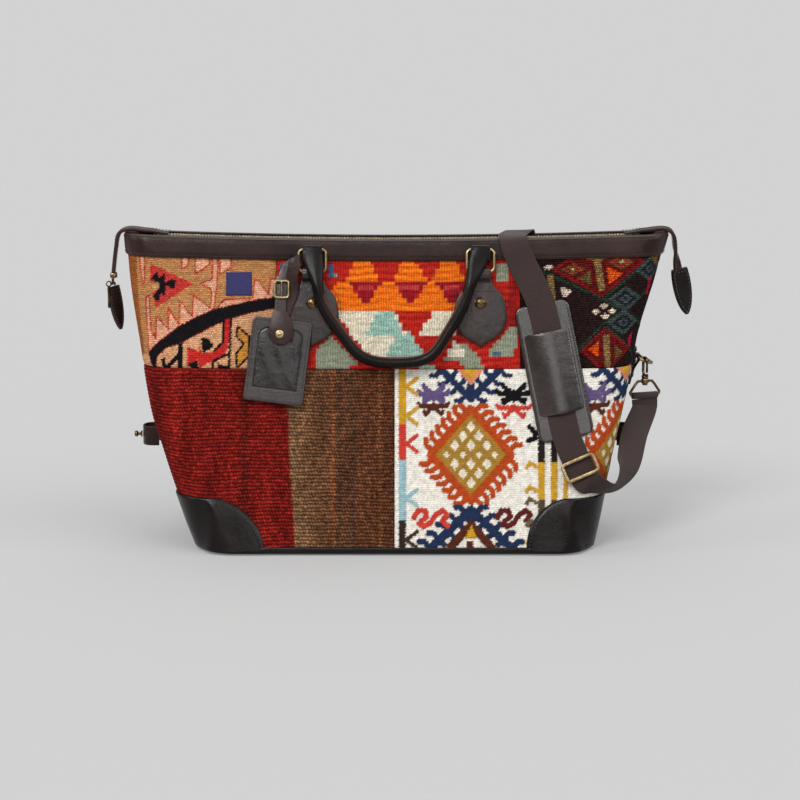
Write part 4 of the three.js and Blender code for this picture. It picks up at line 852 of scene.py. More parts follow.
class Weave:
    """The colours and raised yarn of one panel, over its places (s, z) in millimetres."""

    def __init__(self, s, z, ground, step=None):
        self.plain = (s, z)
        self.s = s + WOBBLE * np.sin(2.1 * z + 0.7 * np.sin(0.31 * s))
        self.z = z + WOBBLE * np.sin(1.7 * s + 0.9 * np.sin(0.23 * z))
        if step:
            self.s = np.round(s / step[0]) * step[0]
            self.z = np.round(z / step[1]) * step[1]
        self.colour = np.broadcast_to(linear(ground), (*s.shape, 3)).copy()
        self.raised = np.zeros(s.shape)

    def fill(self, where, colour, raised=0.0):
        self.colour[where] = linear(colour)
        self.raised[where] = raised

    def polygon(self, points, colour, raised=0.0):
        self.fill(inside(self.s, self.z, points), colour, raised)

    def line(self, points, wide, colour, raised=0.0):
        self.fill(near(self.s, self.z, points) < wide / 2, colour, raised)

    def edged(self, points, colour, edge, wide, raised=0.0):
        self.polygon(points, colour, raised)
        self.line([*points, points[0]], wide, edge, raised)

    def lozenge(self, s, z, wide, tall, colour, raised=0.0):
        self.fill(np.abs(self.s - s) / wide + np.abs(self.z - z) / tall < 1, colour, raised)

    def nested(self, s, z, wide, tall, layers, raised):
        """Lozenges one in another, from (share, colour) pairs."""
        for share, colour in layers:
            self.lozenge(s, z, wide * share, tall * share, colour, raised)

    def bar(self, s, low, high, wide, colour, raised=0.0):
        self.fill((np.abs(self.s - s) < wide / 2) & (self.z > low) & (self.z < high), colour, raised)

    def hooked(self, start, stop, wide, colour, count, long, sides=(1, -1), raised=0.0):
        """A stem from start to stop with a row of short crooked hooks on the given sides."""
        self.line([start, stop], wide, colour, raised)
        way = np.subtract(stop, start) / math.dist(start, stop)
        for side in sides:
            out = side * np.array([-way[1], way[0]])
            for k in range(count):
                root = np.add(start, np.subtract(stop, start) * (k + 0.5) / count)
                elbow = root + out * (wide / 2 + long * 0.62)
                tip = elbow + out * long * 0.38 + way * long * 0.42
                self.line([tuple(root), tuple(elbow), tuple(tip)], wide * 0.66, colour, raised)


TAN, SALMON, RED_YARN = (190, 132, 82), (228, 166, 132), (182, 48, 44)
BLACK_YARN, RUST_CORNER_SHADE = (22, 20, 23), (160, 92, 46)


def paint_toothed_fields(w):
    """Salmon fields with toothed edges, beside a darker rust strip over the left corner and the end,
    painted shade where the cloth turns away.
    """
    # Painted shade: a darker rust strip where the cloth turns round the left corner and over the end.
    w.polygon([(-320, 187), (-267, 187), (-269, 320), (-320, 320)], RUST_CORNER_SHADE)
    fields = [
        [(-267, 320), (-258, 320), (-259, 271), (-261, 271)],
        [(-221, 320), (-210, 320), (-214, 291), (-220, 287)],
        [(-206, 320), (-190, 320), (-192, 292), (-206, 283)],
        [(-188, 320), (-183, 320), (-183.5, 274), (-187, 247), (-191, 244), (-189, 261), (-190, 268),
         (-201, 273), (-189, 277.5), (-188.5, 288)],
        [(-181, 320), (-168.5, 320), (-169.5, 290), (-181, 283)],
        [(-257, 201), (-257.5, 257), (-254, 260), (-252.5, 225), (-247, 216), (-246, 239), (-233, 226),
         (-234, 248), (-222.5, 231.5), (-221.5, 255), (-209, 239), (-208, 261), (-192, 249.5),
         (-187, 246), (-205, 235), (-233, 217)],
        [(-188, 243), (-176, 257.5), (-147.5, 258), (-145, 278), (-141, 277.5), (-131, 263),
         (-129, 279), (-121, 279.5), (-121, 257), (-145, 251), (-170.5, 246)],
    ]
    for points in fields:
        w.edged(points, SALMON, RED_YARN, 1.5)


def paint_leaf(w):
    """A red leaf with a dark toothed figure in it."""
    w.polygon([(-252, 292), (-208, 273), (-247, 247), (-253, 275)], (196, 58, 52))
    w.polygon([(-245, 285), (-243, 277.5), (-237, 283), (-237, 273), (-229.5, 277.5), (-226, 275.5),
               (-227, 267.5), (-229.5, 267), (-236, 270), (-237, 258.5), (-241, 263), (-244, 253),
               (-250, 258.5), (-243, 267), (-242.5, 270), (-246, 273), (-252, 276.5)], BLACK_YARN)
    w.polygon([(-252, 273), (-244, 273), (-243, 268), (-249.5, 263)], (198, 150, 100))


def paint_band(w):
    """The arched dark band over a paler field."""
    below = [(-300, 187), (-258, 201), (-243, 211), (-222.5, 226), (-187, 243), (-143.5, 254),
             (-120, 258), (-120, 180)]
    w.polygon([*below, (-300, 180)], (214, 158, 116))
    w.edged([(-258, 201), (-243, 213.5), (-222.5, 229.5), (-205, 239), (-187, 247), (-165, 252.5),
             (-143.5, 257.5), (-120, 261), (-120, 250), (-151, 243.5), (-172, 237.5), (-187, 230.5),
             (-203, 222), (-222.5, 211.5), (-235.5, 207.5), (-245, 199), (-248.5, 189.5), (-247, 180),
             (-252, 180), (-256.5, 194)], BLACK_YARN, (120, 34, 34), 1.0)


def paint_crooks(w):
    """Hooked figures under the band."""
    w.polygon([(-223.5, 211.5), (-218.5, 212.5), (-219, 180), (-224, 180), (-224, 196), (-235.5, 183),
               (-239, 184), (-241.5, 196), (-237, 197), (-235.5, 189.5), (-223, 203)], BLACK_YARN)
    w.polygon([(-214, 208.5), (-201.5, 204), (-201.5, 213.5), (-199, 203), (-187, 204), (-177, 213.5),
               (-176, 237), (-170.5, 237), (-172, 208.5), (-175, 203), (-187, 195), (-198.5, 189.5),
               (-201, 184), (-203, 196), (-214, 188.5)], (196, 44, 40))
    for points in ([(-176.5, 238), (-177.5, 213.5), (-187, 205)], [(-169.5, 239), (-171, 186)],
                   [(-172, 202), (-187, 195), (-188, 187)]):
        w.line(points, 2.6, BLACK_YARN)
    for points in ([(-200, 218.5), (-193.5, 218.5), (-187.5, 211.5), (-188, 208.5), (-198.5, 202)],
                   [(-215, 190), (-204, 195.5), (-201, 184), (-205, 184.5), (-208.5, 187)],
                   [(-182.5, 193), (-175, 190), (-171.5, 192), (-172, 185), (-182.5, 184)]):
        w.polygon(points, BLACK_YARN)
    w.edged([(-162.5, 230.5), (-150.5, 220), (-151, 200), (-163, 188), (-164, 202), (-156.5, 212.5),
             (-164, 220)], (204, 138, 62), BLACK_YARN, 2.2)


def paint_arch(w):
    """Leaf figure and toothed fields over an arched band, with hooked figures below it."""
    for paint in (paint_toothed_fields, paint_leaf, paint_band, paint_crooks):
        paint(w)


ORANGE, RED, MAROON = (238, 112, 26), (184, 38, 28), (146, 24, 34)
CREAM, MINT, SAGE = (228, 216, 192), (150, 186, 172), (142, 148, 126)


def paint_triangles(w):
    """Rows of stepped triangles, orange and maroon on red."""
    for peak in (-55, -9, 38):
        w.polygon([(peak - 24, 253), (peak - 4, 277), (peak + 4, 277), (peak + 24, 253)], ORANGE)
    for peak in (-35, 13, 53):
        w.polygon([(peak - 19, 276), (peak - 7, 298), (peak + 7, 298), (peak + 19, 276)], ORANGE)
    for foot in (-31.5, 14, 57):
        w.polygon([(foot - 16, 276), (foot + 16, 276), (foot + 2, 255), (foot - 2, 255)], MAROON)
        w.bar(foot, 270, 273, 20, (190, 60, 60))
    w.polygon([(-61, 247), (-61, 256), (61, 256), (61, 247)], ORANGE)


def paint_stepped_fields(w):
    """Cream, mint and sage fields under the triangles."""
    w.polygon([(-130, 187), (-130, 247), (130, 247), (130, 187)], RED)
    w.polygon([(-61, 248), (-61, 242), (-48, 225), (-32, 203), (-10, 199), (16, 210), (-3, 247)], CREAM)
    w.polygon([(38, 247), (60, 247), (60, 222), (23, 222)], CREAM)
    w.polygon([(-19, 247), (-5, 247), (9, 221), (-33, 221)], MINT)
    w.polygon([(0, 221), (14, 224), (30, 200), (-12, 200)], MINT)
    w.polygon([(-82, 208), (-66, 222), (-40, 195), (-50, 186), (-84, 186)], SAGE)
    w.polygon([(44, 187), (56, 213), (70, 213), (94, 187)], SAGE)
    w.polygon([(52, 200), (58, 216), (66, 212), (70, 200)], CREAM)
    w.polygon([(38, 187), (38, 196), (62, 198), (70, 187)], RED)
    w.polygon([(96, 198), (96, 206), (110, 224), (118, 224), (118, 198)], SAGE)


def paint_blocks(w):
    """Small blocks towards the sides."""
    w.bar(108, 276, 293, 13, SAGE)
    w.bar(119, 232, 276, 9, (150, 30, 30))
    w.bar(120, 210, 232, 7, SAGE)
    w.bar(104, 199, 204, 8, (84, 104, 122))
    w.polygon([(20, 187), (28, 193), (38, 193), (40, 187)], MINT)
    for s in (-118, -66):
        w.bar(s, 281, 293, 5, (62, 92, 132))
        w.bar(s + 3.5, 281, 287, 5, (112, 150, 128))
    w.bar(-120, 262, 280, 5, (206, 196, 176))
    w.bar(-113, 258, 282, 7, (200, 52, 44))


def streak(w):
    """Level streaks in the dye, strongest in the warm yarns."""
    s, z = w.plain
    dye = np.sin(z * 1.57 + 2.2 * np.sin(s * 0.043)) * np.sin(z * 0.61 + s * 0.07 + 1)
    dye = (dye + 0.6 * np.sin(z * 0.83 + 1.4 * np.sin(s * 0.11)))[..., None]
    warm = (w.colour[..., 0] > 3 * w.colour[..., 2])[..., None]
    w.colour *= np.where(warm, 1 + dye * np.array([0.2, 0.42, 0.3]), 1 + 0.07 * dye)


def paint_steps(w):
    """Stepped triangles, orange on red over cream and sage fields."""
    for paint in (paint_triangles, paint_stepped_fields, paint_blocks, streak):
        paint(w)


DARK, GREEN, OLIVE = (40, 24, 23), (30, 36, 29), (104, 84, 48)
STRAW, FLAME, PEARL = (140, 112, 70), (228, 84, 22), (228, 206, 182)
RED_NEST = ((1, OLIVE), (0.72, (160, 32, 32)), (0.45, OLIVE), (0.2, (206, 190, 150)))
BLUE_NEST = ((1, (66, 78, 76)), (0.66, (32, 34, 38)), (0.38, (70, 80, 82)), (0.2, (40, 42, 66)))


def paint_lattice(w):
    """A dark lattice and its two large red lozenges, with the figures in them."""
    for points in ([(120, 300), (212, 257.5), (270, 305)], [(180, 200), (212, 232), (250, 198)],
                   [(212, 257.5), (264, 226)], [(265, 300), (300, 262)], [(212, 232), (258, 262)]):
        w.line(points, 7, GREEN, 0.4)
        w.line(points, 1.6, (54, 66, 50), 0.4)
    for points in ([(161, 288), (210.5, 261), (253, 295), (205, 316)],
                   [(213, 227), (190, 205), (213, 183), (240, 206)]):
        w.edged(points, (104, 21, 20), (132, 24, 26), 2.6, 0.4)
    for s, z, wide, tall in ((181, 288, 12, 6), (231, 294.5, 13, 7.6)):
        w.nested(s, z, wide, tall, RED_NEST, 0.4)
    w.polygon([(191, 299), (204, 306), (218, 300), (208.5, 295)], STRAW, 0.5)
    w.polygon([(201.5, 300), (209, 300), (214, 266), (207.5, 265)], STRAW, 0.5)
    w.polygon([(215.5, 289.5), (232, 282.5), (218, 272)], FLAME, 0.6)
    w.polygon([(199, 287), (186.5, 278.5), (199.5, 271)], OLIVE, 0.5)
    w.polygon([(195.5, 206.5), (207, 214), (207, 198.5)], FLAME, 0.6)
    w.polygon([(211.5, 221), (218, 221), (219, 184), (213, 184)], STRAW, 0.5)
    w.polygon([(223.5, 211), (233, 203), (223.5, 195)], OLIVE, 0.5)


def paint_between(w):
    """Small pale and nested lozenges between the large ones."""
    w.polygon([(154, 283), (161, 283), (163.5, 252.5), (157.5, 252.5)], (138, 108, 64), 0.5)
    w.edged([(167, 271), (172, 271), (181.5, 265.5), (174, 259), (170, 259), (168, 265)], PEARL,
            (52, 30, 46), 2, 0.6)
    w.polygon([(150.5, 290.5), (154.5, 293), (162, 291.5), (157.5, 288.5), (153, 288.5)], PEARL, 0.6)
    for s, z in ((212.5, 250), (204, 244.5), (221, 244.5), (213.5, 239.5)):
        w.lozenge(s, z, 5, 3, (228, 206, 184), 0.6)
    for s, z in ((235, 257), (233, 233), (262, 286)):
        w.nested(s, z, 18, 13, BLUE_NEST, 0.4)
    w.polygon([(262, 275.5), (267, 276.5), (265, 258.5), (260, 259)], (190, 26, 62), 0.5)
    w.polygon([(246, 223), (239, 215), (243, 205)], (196, 26, 66), 0.5)
    w.polygon([(262, 303), (276, 303), (274, 287), (264, 294)], (116, 90, 56), 0.4)
    w.polygon([(251, 306), (261.5, 306), (256.5, 299)], FLAME, 0.5)
    for z in (300, 270, 240, 210):
        w.bar(285, z - 9, z + 9, 9, (116, 62, 44), 0.4)


def paint_lozenges(w):
    """Two large red lozenges in a dark lattice, with small pale ones between."""
    paint_lattice(w)
    paint_between(w)


OCHRE, OLIVE_OCHRE, RUST = (198, 150, 42), (160, 122, 48), (178, 70, 28)
NAVY, PURPLE, BRICK = (34, 48, 78), (98, 80, 120), (196, 62, 50)
AMBER, MOSS = (176, 130, 50), (104, 92, 70)
SEPIA, UMBER = (52, 40, 34), (64, 48, 40)
BROWN, PALE_BLUE, WHITE = (84, 42, 30), (150, 184, 190), (233, 227, 216)
MEDALLION, REPEAT, MEDALLION_LEVEL = 76, 165, 101
STAND = 0.8
WORM = [(-17, 0), (-13, 7), (-6, 7), (-4, 1), (-12, -6), (-7, -9), (0, -5), (5, 3), (12, 7), (17, 3),
        (12, -3), (17, -8)]


def paint_beetle(w, s, z, size, colour, legs):
    """A small many-legged figure over a row of legs in a second colour."""
    w.lozenge(s, z - 1, 9 * size, 8 * size, colour, STAND)
    for a, b in ((-11, 9), (11, 9), (-17, 2), (17, 2), (-11, -8), (11, -8)):
        knee = (s + a * size, z + b * size)
        w.line([(s, z), knee], 5.6, colour, STAND)
        w.line([knee, (s + a * size * 1.12, z + b * size + 3)], 4.4, colour, STAND)
    w.lozenge(s, z - 14 * size, 10 * size, 4, legs, STAND)
    for a, b in ((-16, -14), (16, -14), (-10, -24), (10, -24)):
        knee = (s + a * size, z + b * size)
        w.line([(s, z - 14 * size), knee], 4.8, legs, STAND)
        w.line([knee, (s + a * size * 1.2, z + b * size + 3)], 3.8, legs, STAND)


def paint_hooked_lozenge(w, s, z):
    """A hooked lozenge with rows of small pale ones in it."""
    wide, tall = 41, 46
    corners = [(s - wide, z), (s, z + tall), (s + wide, z), (s, z - tall)]
    for start, stop in zip(corners, corners[1:] + corners[:1]):
        w.hooked(start, stop, 8.4, RUST, 7, 9.5, (1,), STAND)
    w.lozenge(s, z, 36, 40.5, OLIVE_OCHRE, STAND)
    for row in range(-3, 4):
        size = (4.8, 6.0) if row else (3.4, 4.0)
        for k in range(4 - abs(row)):
            across = (k - (3 - abs(row)) / 2) * 16.4
            w.lozenge(s + across, z + row * 9.4, *size, CREAM)


def paint_chevrons(w, s, z):
    """Hooked chevrons over and under the lozenge, with the figures they hold."""
    for side in (-1, 1):
        w.hooked((s, z + 56), (s + side * 34, z + 90), 7.4, NAVY, 4, 8, (1, -1), STAND)
        w.hooked((s, z - 55), (s + side * 46, z - 98), 9, NAVY, 5, 8, (1, -1), STAND)
    w.polygon([(s - 15, z + 87), (s + 15, z + 87), (s, z + 70)], (212, 132, 100), STAND)
    w.polygon([(s - 9, z + 87), (s + 8, z + 87), (s - 1, z + 75)], OCHRE, STAND)
    w.polygon([(s, z - 64), (s - 34, z - 100), (s - 22, z - 100), (s, z - 76), (s + 22, z - 100),
               (s + 34, z - 100)], BROWN, STAND)
    w.polygon([(s, z - 70), (s - 6, z - 84), (s + 6, z - 84)], OCHRE, STAND)
    for side in (-1, 1):
        corner = [(s + side * 26, z - 91), (s + side * 30, z - 100), (s + side * 16, z - 100)]
        w.polygon(corner, AMBER, STAND)
    w.bar(s - 1, z - 100, z - 86, 7, BROWN, STAND)


def paint_medallion(w, s):
    """One repeat of the brocade: a hooked lozenge between chevrons, with small figures round it."""
    z = MEDALLION_LEVEL
    paint_hooked_lozenge(w, s, z)
    paint_chevrons(w, s, z)
    for ds, size, colour, legs in ((-38, 0.8, PURPLE, BROWN), (44, 0.92, BLACK_YARN, BRICK)):
        paint_beetle(w, s + ds, z + 60, size, colour, legs)
    crook = [(s + 60, z + 28), (s + 66, z + 22), (s + 65, z + 16), (s + 59, z + 14)]
    w.line(crook, 5.5, BLACK_YARN, STAND)
    for ds, colour in ((-41, BRICK), (44, (92, 34, 32))):
        w.line([(s + ds + a, z - 63 + b) for a, b in WORM], 5.6, colour, STAND)


def paint_brocade(w):
    """Raised figures on a cream ground, between segmented bars."""
    w.bar(LOWER_SEAM + 2, 0, 190, 3.4, (238, 232, 222), 1.0)
    for middle in (MEDALLION, MEDALLION + REPEAT):
        paint_medallion(w, middle)
    left = MEDALLION - 70
    for low, high, colour in ((132, 190, OCHRE), (96, 132, BRICK), (35, 96, PALE_BLUE), (0, 35, SEPIA)):
        w.bar(left, low, high, 7.6, colour, STAND)
    for level, colour in ((170, OCHRE), (140, OCHRE), (112, BRICK), (58, PALE_BLUE), (16, UMBER)):
        for rise in (8, -8):
            w.line([(left + 4, level), (left + 15, level + rise)], 4, colour, STAND)
    for s in (148, 161, 173.5):
        wide = 7 if s < 170 else 5
        for low, high, colour in ((93, 187, (40, 30, 28)), (56, 93, OCHRE), (0, 56, (82, 70, 58))):
            w.bar(s, low, high, wide, colour, STAND)
    for level, colour in ((88, OCHRE), (64, OCHRE), (52, MOSS), (30, MOSS), (12, OCHRE)):
        w.line([(144, level), (136, level + 5), (133, level)], 4, colour, STAND)


RED_STREAKS = ((-250, 10, (118, 24, 21)), (-196, 5, (122, 26, 22)), (-155, 6, (104, 28, 22)),
               (-226, 6, (152, 35, 27)))
BROWN_STREAKS = ((-64.5, 1.6, (150, 84, 44)), (-58, 2.4, (82, 58, 42)), (-45, 3, (86, 62, 46)),
                 (-17, 2, (134, 82, 50)))


def uneven(w):
    """Cloudy upright streaks where the dye took unevenly."""
    cloud = np.sin(w.s / 6.1 + 1.7 * np.sin(w.z / 29)) * np.sin(w.z / 41 + w.s / 55)
    w.colour = w.colour * (1 + 0.2 * cloud)[..., None]


def paint_red_and_brown(w):
    """A red field and a brown one, each with faint upright streaks."""
    edge = mix(-103.5, -111, w.z / 143)
    red = w.s < edge
    w.fill(red, (132, 29, 23))
    for s, wide, colour in RED_STREAKS:
        w.fill(red & (np.abs(w.s - s) < wide * (0.6 + 0.4 * np.sin(w.z * 0.9))), colour)
    pale = np.exp(-np.maximum(0, w.s - edge) / 34)[..., None]
    brown = linear((98, 55, 34)) * (1 - pale) + linear((138, 102, 72)) * pale
    w.colour = np.where(red[..., None], w.colour, brown)
    for s, wide, colour in BROWN_STREAKS:
        w.fill(~red & (np.abs(w.s - s) < wide) & (np.sin(w.z * 1.9 + s) > -0.5), colour)
    uneven(w)


def paint_back(first, second):
    """Broad plain bands for a back panel."""

    def paint(w):
        for k in range(-3, 4):
            w.fill(np.abs(w.s - k * 96 - 20) < 26, second)
            w.fill(np.abs(w.s - k * 96 - 56) < 2, tuple(0.6 * c for c in first))
        uneven(w)

    return paint


# Cloth panels
END_FROM, END_TO = 214, 262
FRONT_HOLLOW, BACK_HOLLOW = 0.4, 0.7
SEAM_DEPTH, SEAM_WIDTH = 1.5, 2.2
FINE, COARSE, BACK_COARSE = (1.25, 1.2), (2.2, 0.9), (3, 0.9)
RIB_HEIGHT = 0.3
SEAM = GAP / 2
UPPER = (ROW_SEAM + SEAM, HEIGHT - LEATHER - 2 * GAP)
LOWER = (BASE_THICK + GAP, ROW_SEAM - SEAM)
BACK_RED, BACK_BROWN = (142, 34, 26), (112, 74, 48)


def slack(side, s, z):
    """How far the soft wall falls in: over the back, and on each end above and below its sewn strip."""
    at_end = smooth(np.abs(s), END_FROM, END_TO)
    hollow = np.maximum(0, at_end * (2.6 + 2.2 * np.sin(z / 19 + s / 31)) * swell(z, 60, 300))
    if side < 0:
        return hollow * FRONT_HOLLOW
    folds = 1.0 * np.sin(s / 27 + z / 71) + 0.9 * np.sin(s / 53 - z / 39 + 1) + 1.7
    return hollow * BACK_HOLLOW + folds * swell(z, 50, 300) * (1 - at_end)


def make_panel(name, side, rows, edges, spacing, ground, paint, material, ribs=0.0, step=None):
    """One kilim panel: rows gives its levels, edges its two sides, spacing its cells across and up."""
    low, high = rows
    left, right = edges
    middle = (low + high) / 2
    count_s = int((right(middle) - left(middle)) / spacing[0])
    count_z = int((high - low) / spacing[1])
    u, v = np.meshgrid(np.linspace(0, 1, count_s + 1), np.linspace(0, 1, count_z + 1))
    z = mix(low, high, v)
    s = mix(left(z), right(z), u)
    w = Weave(s, z, ground, step)
    paint(w)
    border = np.minimum(np.minimum(s - left(z), right(z) - s), np.minimum(z - low, high - z))
    out = np.minimum(RELIEF, w.raised) * smooth(border, 0, 3) - SEAM_DEPTH * np.exp(-border / SEAM_WIDTH)
    level = z + 0.9 * np.sin(s / 37 + z / 60) + 0.5 * np.sin(s / 13 + z / 21)
    out += ribs * np.sin(2 * np.pi * (level / RIB_PITCH - 0.25))
    out -= 0.8 * (np.sin(s / 41 + 1.3 * np.sin(z / 47)) * np.sin(z / 33 + 0.8)) ** 2
    out -= slack(side, s, z)
    out, s, z, level = rimmed(-KILIM, out, s, z, level)
    colour = np.pad(w.colour, ((1, 1), (1, 1), (0, 0)), mode="edge")
    points = wall(side, station(s, z), z, out).reshape(-1, 3)
    form = outward((points, quads(s.shape[1], s.shape[0])), side > 0)
    panel = link(name + "_cloth", form, material, [name])
    set_cloth(panel, s, level, colour)


def fixed(s):
    return lambda z: np.full(np.shape(z), float(s))


def left_end(z):
    return -reach(z) - slouch(z) + SEAM


def right_end(z):
    return reach(z) - slouch(z) - SEAM


def make_cloth():
    """Five panels in front and two at the back, each between seams or an end."""
    make_panel("front_upper_left_kilim", -1, UPPER, (left_end, fixed(LEFT_SEAM - SEAM)), FINE, TAN,
               paint_arch, FLAT_WEAVE)
    make_panel("front_upper_centre_kilim", -1, UPPER, (fixed(LEFT_SEAM + SEAM), fixed(RIGHT_SEAM - SEAM)),
               FINE, RED, paint_steps, SLIT_WEAVE, step=(4.2, 4.3))
    make_panel("front_upper_right_kilim", -1, UPPER, (fixed(RIGHT_SEAM + SEAM), right_end), FINE, DARK,
               paint_lozenges, SUMAK_WEAVE)
    make_panel("front_lower_left_kilim", -1, LOWER, (left_end, fixed(LOWER_SEAM - SEAM)), COARSE,
               (120, 76, 48), paint_red_and_brown, RIB_WEAVE, RIB_HEIGHT)
    make_panel("front_lower_right_kilim", -1, LOWER, (fixed(LOWER_SEAM + SEAM), right_end), FINE, WHITE,
               paint_brocade, BROCADE_WEAVE)
    for name, rows, ground, stripe, slot in (
            ("back_upper_kilim", UPPER, BACK_RED, (122, 28, 24), "kilim_back_red"),
            ("back_lower_kilim", LOWER, BACK_BROWN, (130, 92, 62), "kilim_back_brown")):
        make_panel(name, 1, rows, (left_end, right_end), BACK_COARSE, ground, paint_back(ground, stripe),
                   RIB_WEAVE, RIB_HEIGHT)


make_cloth()


# Leather on the body
SIDES = (("front", -1), ("back", 1))
ENDS = (("left", -1), ("right", 1))
SHARP = 50


def out_of_wall(side, m, level, out):
    """A line on the wall, and the way the wall faces there."""
    line = wall(side, m, level, out)
    return line, unit(wall(side, m, level, 10) - line)


def make_band(name, side):
    """The band round the mouth, turned in at the top, with a stitched line along each edge."""
    foot, face = HEIGHT - BAND_HEIGHT, GAP + LEATHER
    profile = [(GAP, foot + 0.4), (GAP + 1.4, foot), (face, foot + 0.8), (face + 0.3, foot + 7),
               (face + 0.3, HEIGHT - 6), (face, HEIGHT - 1.6), (GAP + 1.2, HEIGHT - 0.3), (-1, HEIGHT),
               (-LIP_REACH, HEIGHT), (-LIP_REACH, HEIGHT - LEATHER), (GAP, HEIGHT - LEATHER)]
    z_mid = HEIGHT - BAND_HEIGHT / 2
    s = np.linspace(left_end(z_mid), right_end(z_mid), 260)
    m = station(s, z_mid)
    ripple = 0.35 * np.sin(s / 23) * np.sin(s / 57 + 1)
    rings = np.stack([wall(side, m, z, out + (ripple if out > 1 else 0)) for out, z in profile], 1)
    form = outward(stack(rings), side > 0)
    link(f"{name}_top_band_leather", form, DARK_LEATHER, [f"{name}_top_band"], SHARP)
    runs = [out_of_wall(side, m, level, face + 0.35) for level in (foot + 2.6, HEIGHT - 3.4)]
    stitches(f"{name}_top_band_stitching", runs, BAND_THREAD, 3.2, 2.2, 0.6)


def patch_reach(z):
    """The station of a corner patch's curved inner edge."""
    rise = np.minimum(1, z / PATCH_HEIGHT)
    x = BASE_LENGTH / 2 - 22 - PATCH_REACH * np.sqrt(np.maximum(0, 1 - rise**2.2))
    r = corner_radius(z)
    flat = half_length(z) - r
    over = np.clip((x - flat) / r, 0, 1)
    return np.where(over > 0, 1 + np.arcsin(over) / (np.pi / 2), x / flat)


PATCH_ROWS, PATCH_COLUMNS = 44, 60
PATCH_TOP = PATCH_HEIGHT * 0.985


def make_corner(name, side, end):
    """A leather patch over a lower corner, with a rolled edge and one line of stitches inside it."""
    rows, columns = np.linspace(0, 1, PATCH_ROWS + 1), np.linspace(0, 1, PATCH_COLUMNS + 1)
    v, u = np.meshgrid(rows, columns, indexing="ij")
    z = mix(BASE_THICK + GAP, PATCH_TOP, 1 - (1 - v) ** 1.5)
    seam = 3 - GAP / 2 / (half_depth(z) - corner_radius(z))
    m = mix(seam, patch_reach(z), u)
    edge = np.minimum((1 - u) * 90, PATCH_TOP - z)
    crease = 0.5 * np.sin(z / 9 + 3 * u) * np.sin(u * 9)
    ridge = u - 0.72 - 0.0042 * z
    pinch = np.exp(-(ridge * 20) ** 2) - 0.8 * np.exp(-((ridge + 0.11) * 13) ** 2)
    out = GAP + LEATHER - 1.2 * np.exp(-edge / 0.9) + (0.4 * crease + 1.7 * pinch) * smooth(edge, 1, 9)
    out, m, z = rimmed(GAP, out, m, z)
    points = wall(side, end * m, z, out).reshape(-1, 3)
    form = outward((points, quads(m.shape[1], m.shape[0])), side * end < 0)
    link(f"{name}_corner_leather", form, BLACK_LEATHER, [f"{name}_corner"])
    level = np.linspace(BASE_THICK + 4, PATCH_HEIGHT - 8, 60)
    line_m = patch_reach(level + 3) + 3.2 / (half_length(level) - corner_radius(level))
    runs = [out_of_wall(side, end * line_m, level, GAP + LEATHER + 0.1)]
    stitches(f"{name}_corner_stitching", runs, pitch=3.4, long=2.0, thick=0.55)


def foot_slab(stages, steps):
    """A slab in the shape of the bag's foot, from (inset, level) pairs."""
    foot = BASE_THICK + GAP
    long, deep = 2 * half_length(foot), 2 * half_depth(foot)
    rings = []
    for inward, z in stages:
        flat = rounded(long - 2 * inward, deep - 2 * inward, BASE_CORNER - inward, steps)
        x = flat[:, 0]
        x -= np.sign(x) * draw_in(x, z) * smooth(np.abs(x), long / 2 - DRAW_REACH, long / 2)
        rings.append(laid(flat, z))
    return stack(rings)


LINING_OUT, LINING_SLACK = -KILIM - 1.6, 6
BOARD_INSET, BOARD_TOP, BOARD_EASE = 7.6, 6.3, 0.5
BASE_EDGE = [(13, 0.0), (6, 0.4), (1.6, 1.2), (-0.4, 2.4), (-1.2, 3.8), (-1.2, 7.2), (-0.6, 8.2),
             (0.6, 8.2)]


def make_base():
    """The leather base with its edge rolled up, and the board on it."""
    base = foot_slab(BASE_EDGE, 16)
    link("base_leather_sheet", base, BLACK_LEATHER, ["base_leather"], SHARP)
    low, eased = BASE_THICK + GAP, BOARD_INSET + BOARD_EASE
    stages = [(eased, low), (BOARD_INSET, low + BOARD_EASE), (BOARD_INSET, BOARD_TOP - BOARD_EASE),
              (eased, BOARD_TOP)]
    link("base_board_sheet", foot_slab(stages, 12), BOARD, ["base_board"], SHARP)


def make_lining():
    """The cloth pocket that hangs inside, open under the zip."""
    around = np.linspace(-2.99, 2.99, 140)
    folds = 0.4 * np.sin(around * 23) - 0.4
    rings = []
    for z in np.linspace(BOARD_TOP + GAP, HEIGHT - 11, 40):
        hang = LINING_OUT + folds - LINING_SLACK * np.sin(np.pi * z / HEIGHT)
        rings.append(np.vstack([wall(-1, around, z, hang), wall(1, around[::-1], z, hang)]))
    points, faces = stack(rings)
    link("lining_cloth_pocket", (points, faces[:-1]), LINING, ["lining"])


for side_name, side_sign in SIDES:
    make_band(side_name, side_sign)
    for end_name, end_sign in ENDS:
        make_corner(f"{side_name}_{end_name}", side_sign, end_sign)
make_base()
make_lining()


# Handles with their rings, tabs and studs
FOLD = RING_WIRE / 2 + GAP + 2.2
RING_LOW = -RING_HEIGHT + RING_WIRE
TAB_TOP = RING_LOW - 14
TAB_CROWN = 1.2
NECK = RING_WIDTH - 2 * RING_WIRE - 4
CHAPE_BEND = FOLD - 1.1
HANDLE_SLACK, HANDLE_STEPS = 3.5, 181
HANDLE_SEAM = slice(28, 153)


def shield():
    """The tab's outline: narrow under the ring, then broad and rounded to a short point."""
    wide, tall = TAB_WIDTH / 2, TAB_LENGTH
    neck = NECK / 2 + 0.6
    half = bow((neck, 9), (neck + 1, 0), (TAB_NECK / 2, -5), (wide - 0.5, -tall * 0.2), (wide, -tall * 0.5),
               (wide, -tall * 0.78), (9, -tall * 0.92), (3, -tall * 0.96), (0.8, -tall))
    return mirrored(half)[::-1]


